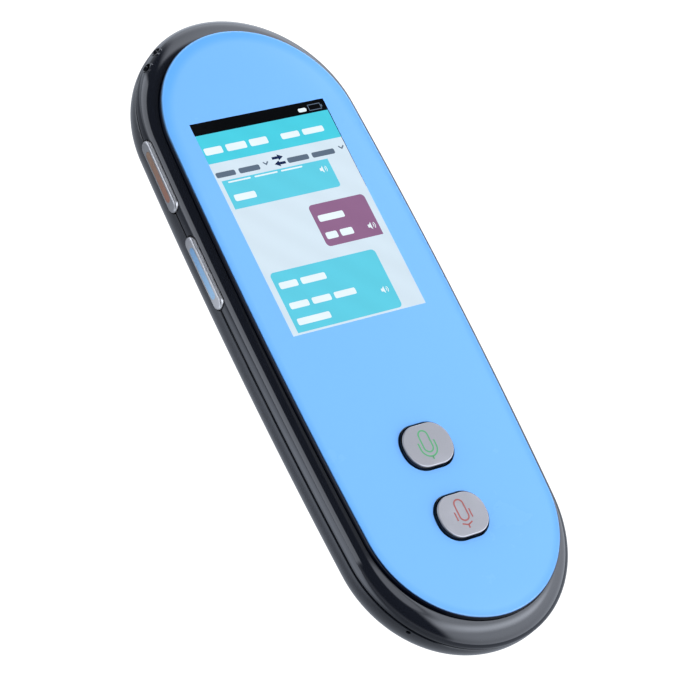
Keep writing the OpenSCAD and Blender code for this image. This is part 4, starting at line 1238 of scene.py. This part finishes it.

# %% [markdown]
# ## Floor and light
#
# Nearly all that shows on the dark gloss is a reflection of the room, so the room was read backwards
# from the photograph: at each spot of the rim the normal is known, the normal and the camera give the
# mirrored direction, and the brightness there, divided by how much the gloss reflects, is the light in
# that direction. It showed a white wall at the far left that ends 33 degrees up, a large soft light on
# the right that grows with height and reaches higher at the near end, a brighter strip slanting through
# it, a small light overhead, and darkness elsewhere. Lamps of that size would get into the picture from
# other sides, so all of them are drawn into the world by direction.
#
# The camera itself sees plain white, which a Light Path node allows. The floor glows as a light table
# does. Its glow holds painted light and shade: brighter to the left and beyond the far end, and dim
# close to the object, a painted shadow of it.

# %% Studio floor
WHITE = (1, 1, 1, 1)
BACKDROP = 1.2
FLOOR_Z = cad_low.z - 0.2 * MM
FLOOR_HALF = 3.0


def soft_step(tree, value, first, last, low=0.0, high=1.0):
    """Goes smoothly from low to high while value goes from first to last."""
    return spread(tree, value, first, last, low, high, "SMOOTHSTEP")


def white_to_camera(tree, kind, surface, output):
    """Camera rays see plain white, all other rays the surface or the air that is given."""
    white = made(tree, kind, {0: WHITE, 1: BACKDROP})
    seen = tree.nodes.new("ShaderNodeLightPath").outputs["Is Camera Ray"]
    mix = made(tree, "ShaderNodeMixShader", {0: seen, 1: surface, 2: white})
    fill(tree, output, {0: mix})


def studio_floor():
    material, tree, shader = start("studio_paper")
    x, y = axes(tree, object_place(tree))[:2]
    # The glow paints light and shade: a pool of light to the left and beyond the far end, and painted
    # shadow close to the object, where only the low base glow remains.
    to_left = soft_step(tree, x, -28 * MM, -41 * MM)
    near_end = soft_step(tree, y, -78 * MM, -50 * MM)
    far_end = soft_step(tree, y, 44 * MM, 2 * MM)
    patch = to_left * (near_end * far_end) * soft_step(tree, y, 5 * MM, -25 * MM, 1.2, 1.8)
    beyond = soft_step(tree, y, 80 * MM, 95 * MM, 0.32, 1.1)
    grain = use(tree, GRAIN, Grains_per_mm=0.4, Height=0.1, Tone=0.02)
    fill(tree, shader, {
        "Emission Color": tinted(tree, (0.9, 0.98, 1.12), (patch + beyond) * grain["Tone"]),
        "Base Color": tinted(tree, (0.04, 0.04, 0.042), grain["Tone"]),
        "Emission Strength": 1.0, "Roughness": 0.9, "Specular IOR Level": 0.1})
    output = next(node for node in tree.nodes if node.type == "OUTPUT_MATERIAL")
    white_to_camera(tree, "ShaderNodeEmission", shader.outputs[0], output)
    work = bmesh.new()
    bmesh.ops.create_grid(work, x_segments=8, y_segments=8, size=FLOOR_HALF)
    floor = new_piece("studio_floor", work, material)
    floor.location.z = FLOOR_Z


studio_floor()
print("floor at", round(FLOOR_Z / MM, 2), "mm")


# %% Room of light
def heading(degrees):
    turn = math.radians(degrees)
    return (math.cos(turn), math.sin(turn), 0)


def sine(degrees):
    """The z of a direction that points so many degrees up."""
    return math.sin(math.radians(degrees))


def light_room():
    world = bpy.data.worlds.new("light_room")
    world.use_nodes = True
    tree = world.node_tree
    tree.nodes.clear()
    way = tree.nodes.new("ShaderNodeTexCoord").outputs["Generated"]
    x, y, z = axes(tree, way)
    compass = made(tree, "ShaderNodeVectorMath", {0: vector(tree, x, y)}, operation="NORMALIZE")

    def towards(direction, degrees):
        dot = add(tree, "ShaderNodeVectorMath", {0: direction, 1: heading(degrees)},
                  operation="DOT_PRODUCT")
        return dot.outputs["Value"]

    def step(value, first, last, low=0.0, high=1.0):
        return soft_step(tree, value, first, last, low, high)

    # the wall at the far left, up to about 33 degrees
    wall = (step(towards(compass, 137), 0.78, 0.84)
            * step(z, sine(29), sine(35), 2.1, 0.0))

    # the large light on the right: how bright it is, and the strip that slants through it
    strength = (step(towards(compass, -20), -0.3, 0.8, 0.6, 1.0)
                * step(z, 0.1, 0.7, 1.4, 2.6))
    slant = x * -0.5 + y
    strip = (step(slant, -0.7, -0.5) * step(slant, -0.33, -0.5)
             * (step(z, 0.58, 0.7) * step(x, 0.0, 0.45, 1.2, 3.0)))
    # its shape: high at the near end, low beyond, cut off towards the left
    tall = step(y, 0.14, 0.06) * step(z, 0.94, 0.98, 1.0, 0.0)
    low = step(z, 0.62, 0.7, 1.0, 0.0)
    window = tall.math("MAXIMUM", low) * step(towards(way, -12), -0.04, 0.16)
    right = (strength + strip) * window

    # a pale haze over the floor and the light overhead
    haze = step(z, 0.1, 0.4, 0.5, 0.06)
    overhead = step(z, 0.945, 0.965, 0.0, 0.3) + step(z, 0.965, 0.98, 0.0, 1.6) * step(y, 0.2, 0.08)
    total = haze + wall + right + overhead
    air = made(tree, "ShaderNodeBackground", {0: (0.92, 0.98, 1.1, 1), 1: total})
    output = tree.nodes.new("ShaderNodeOutputWorld")
    white_to_camera(tree, "ShaderNodeBackground", air, output)
    bpy.context.scene.world = world


light_room()
bpy.context.scene.view_settings.view_transform = "Standard"
print("world:", bpy.context.scene.world.name)
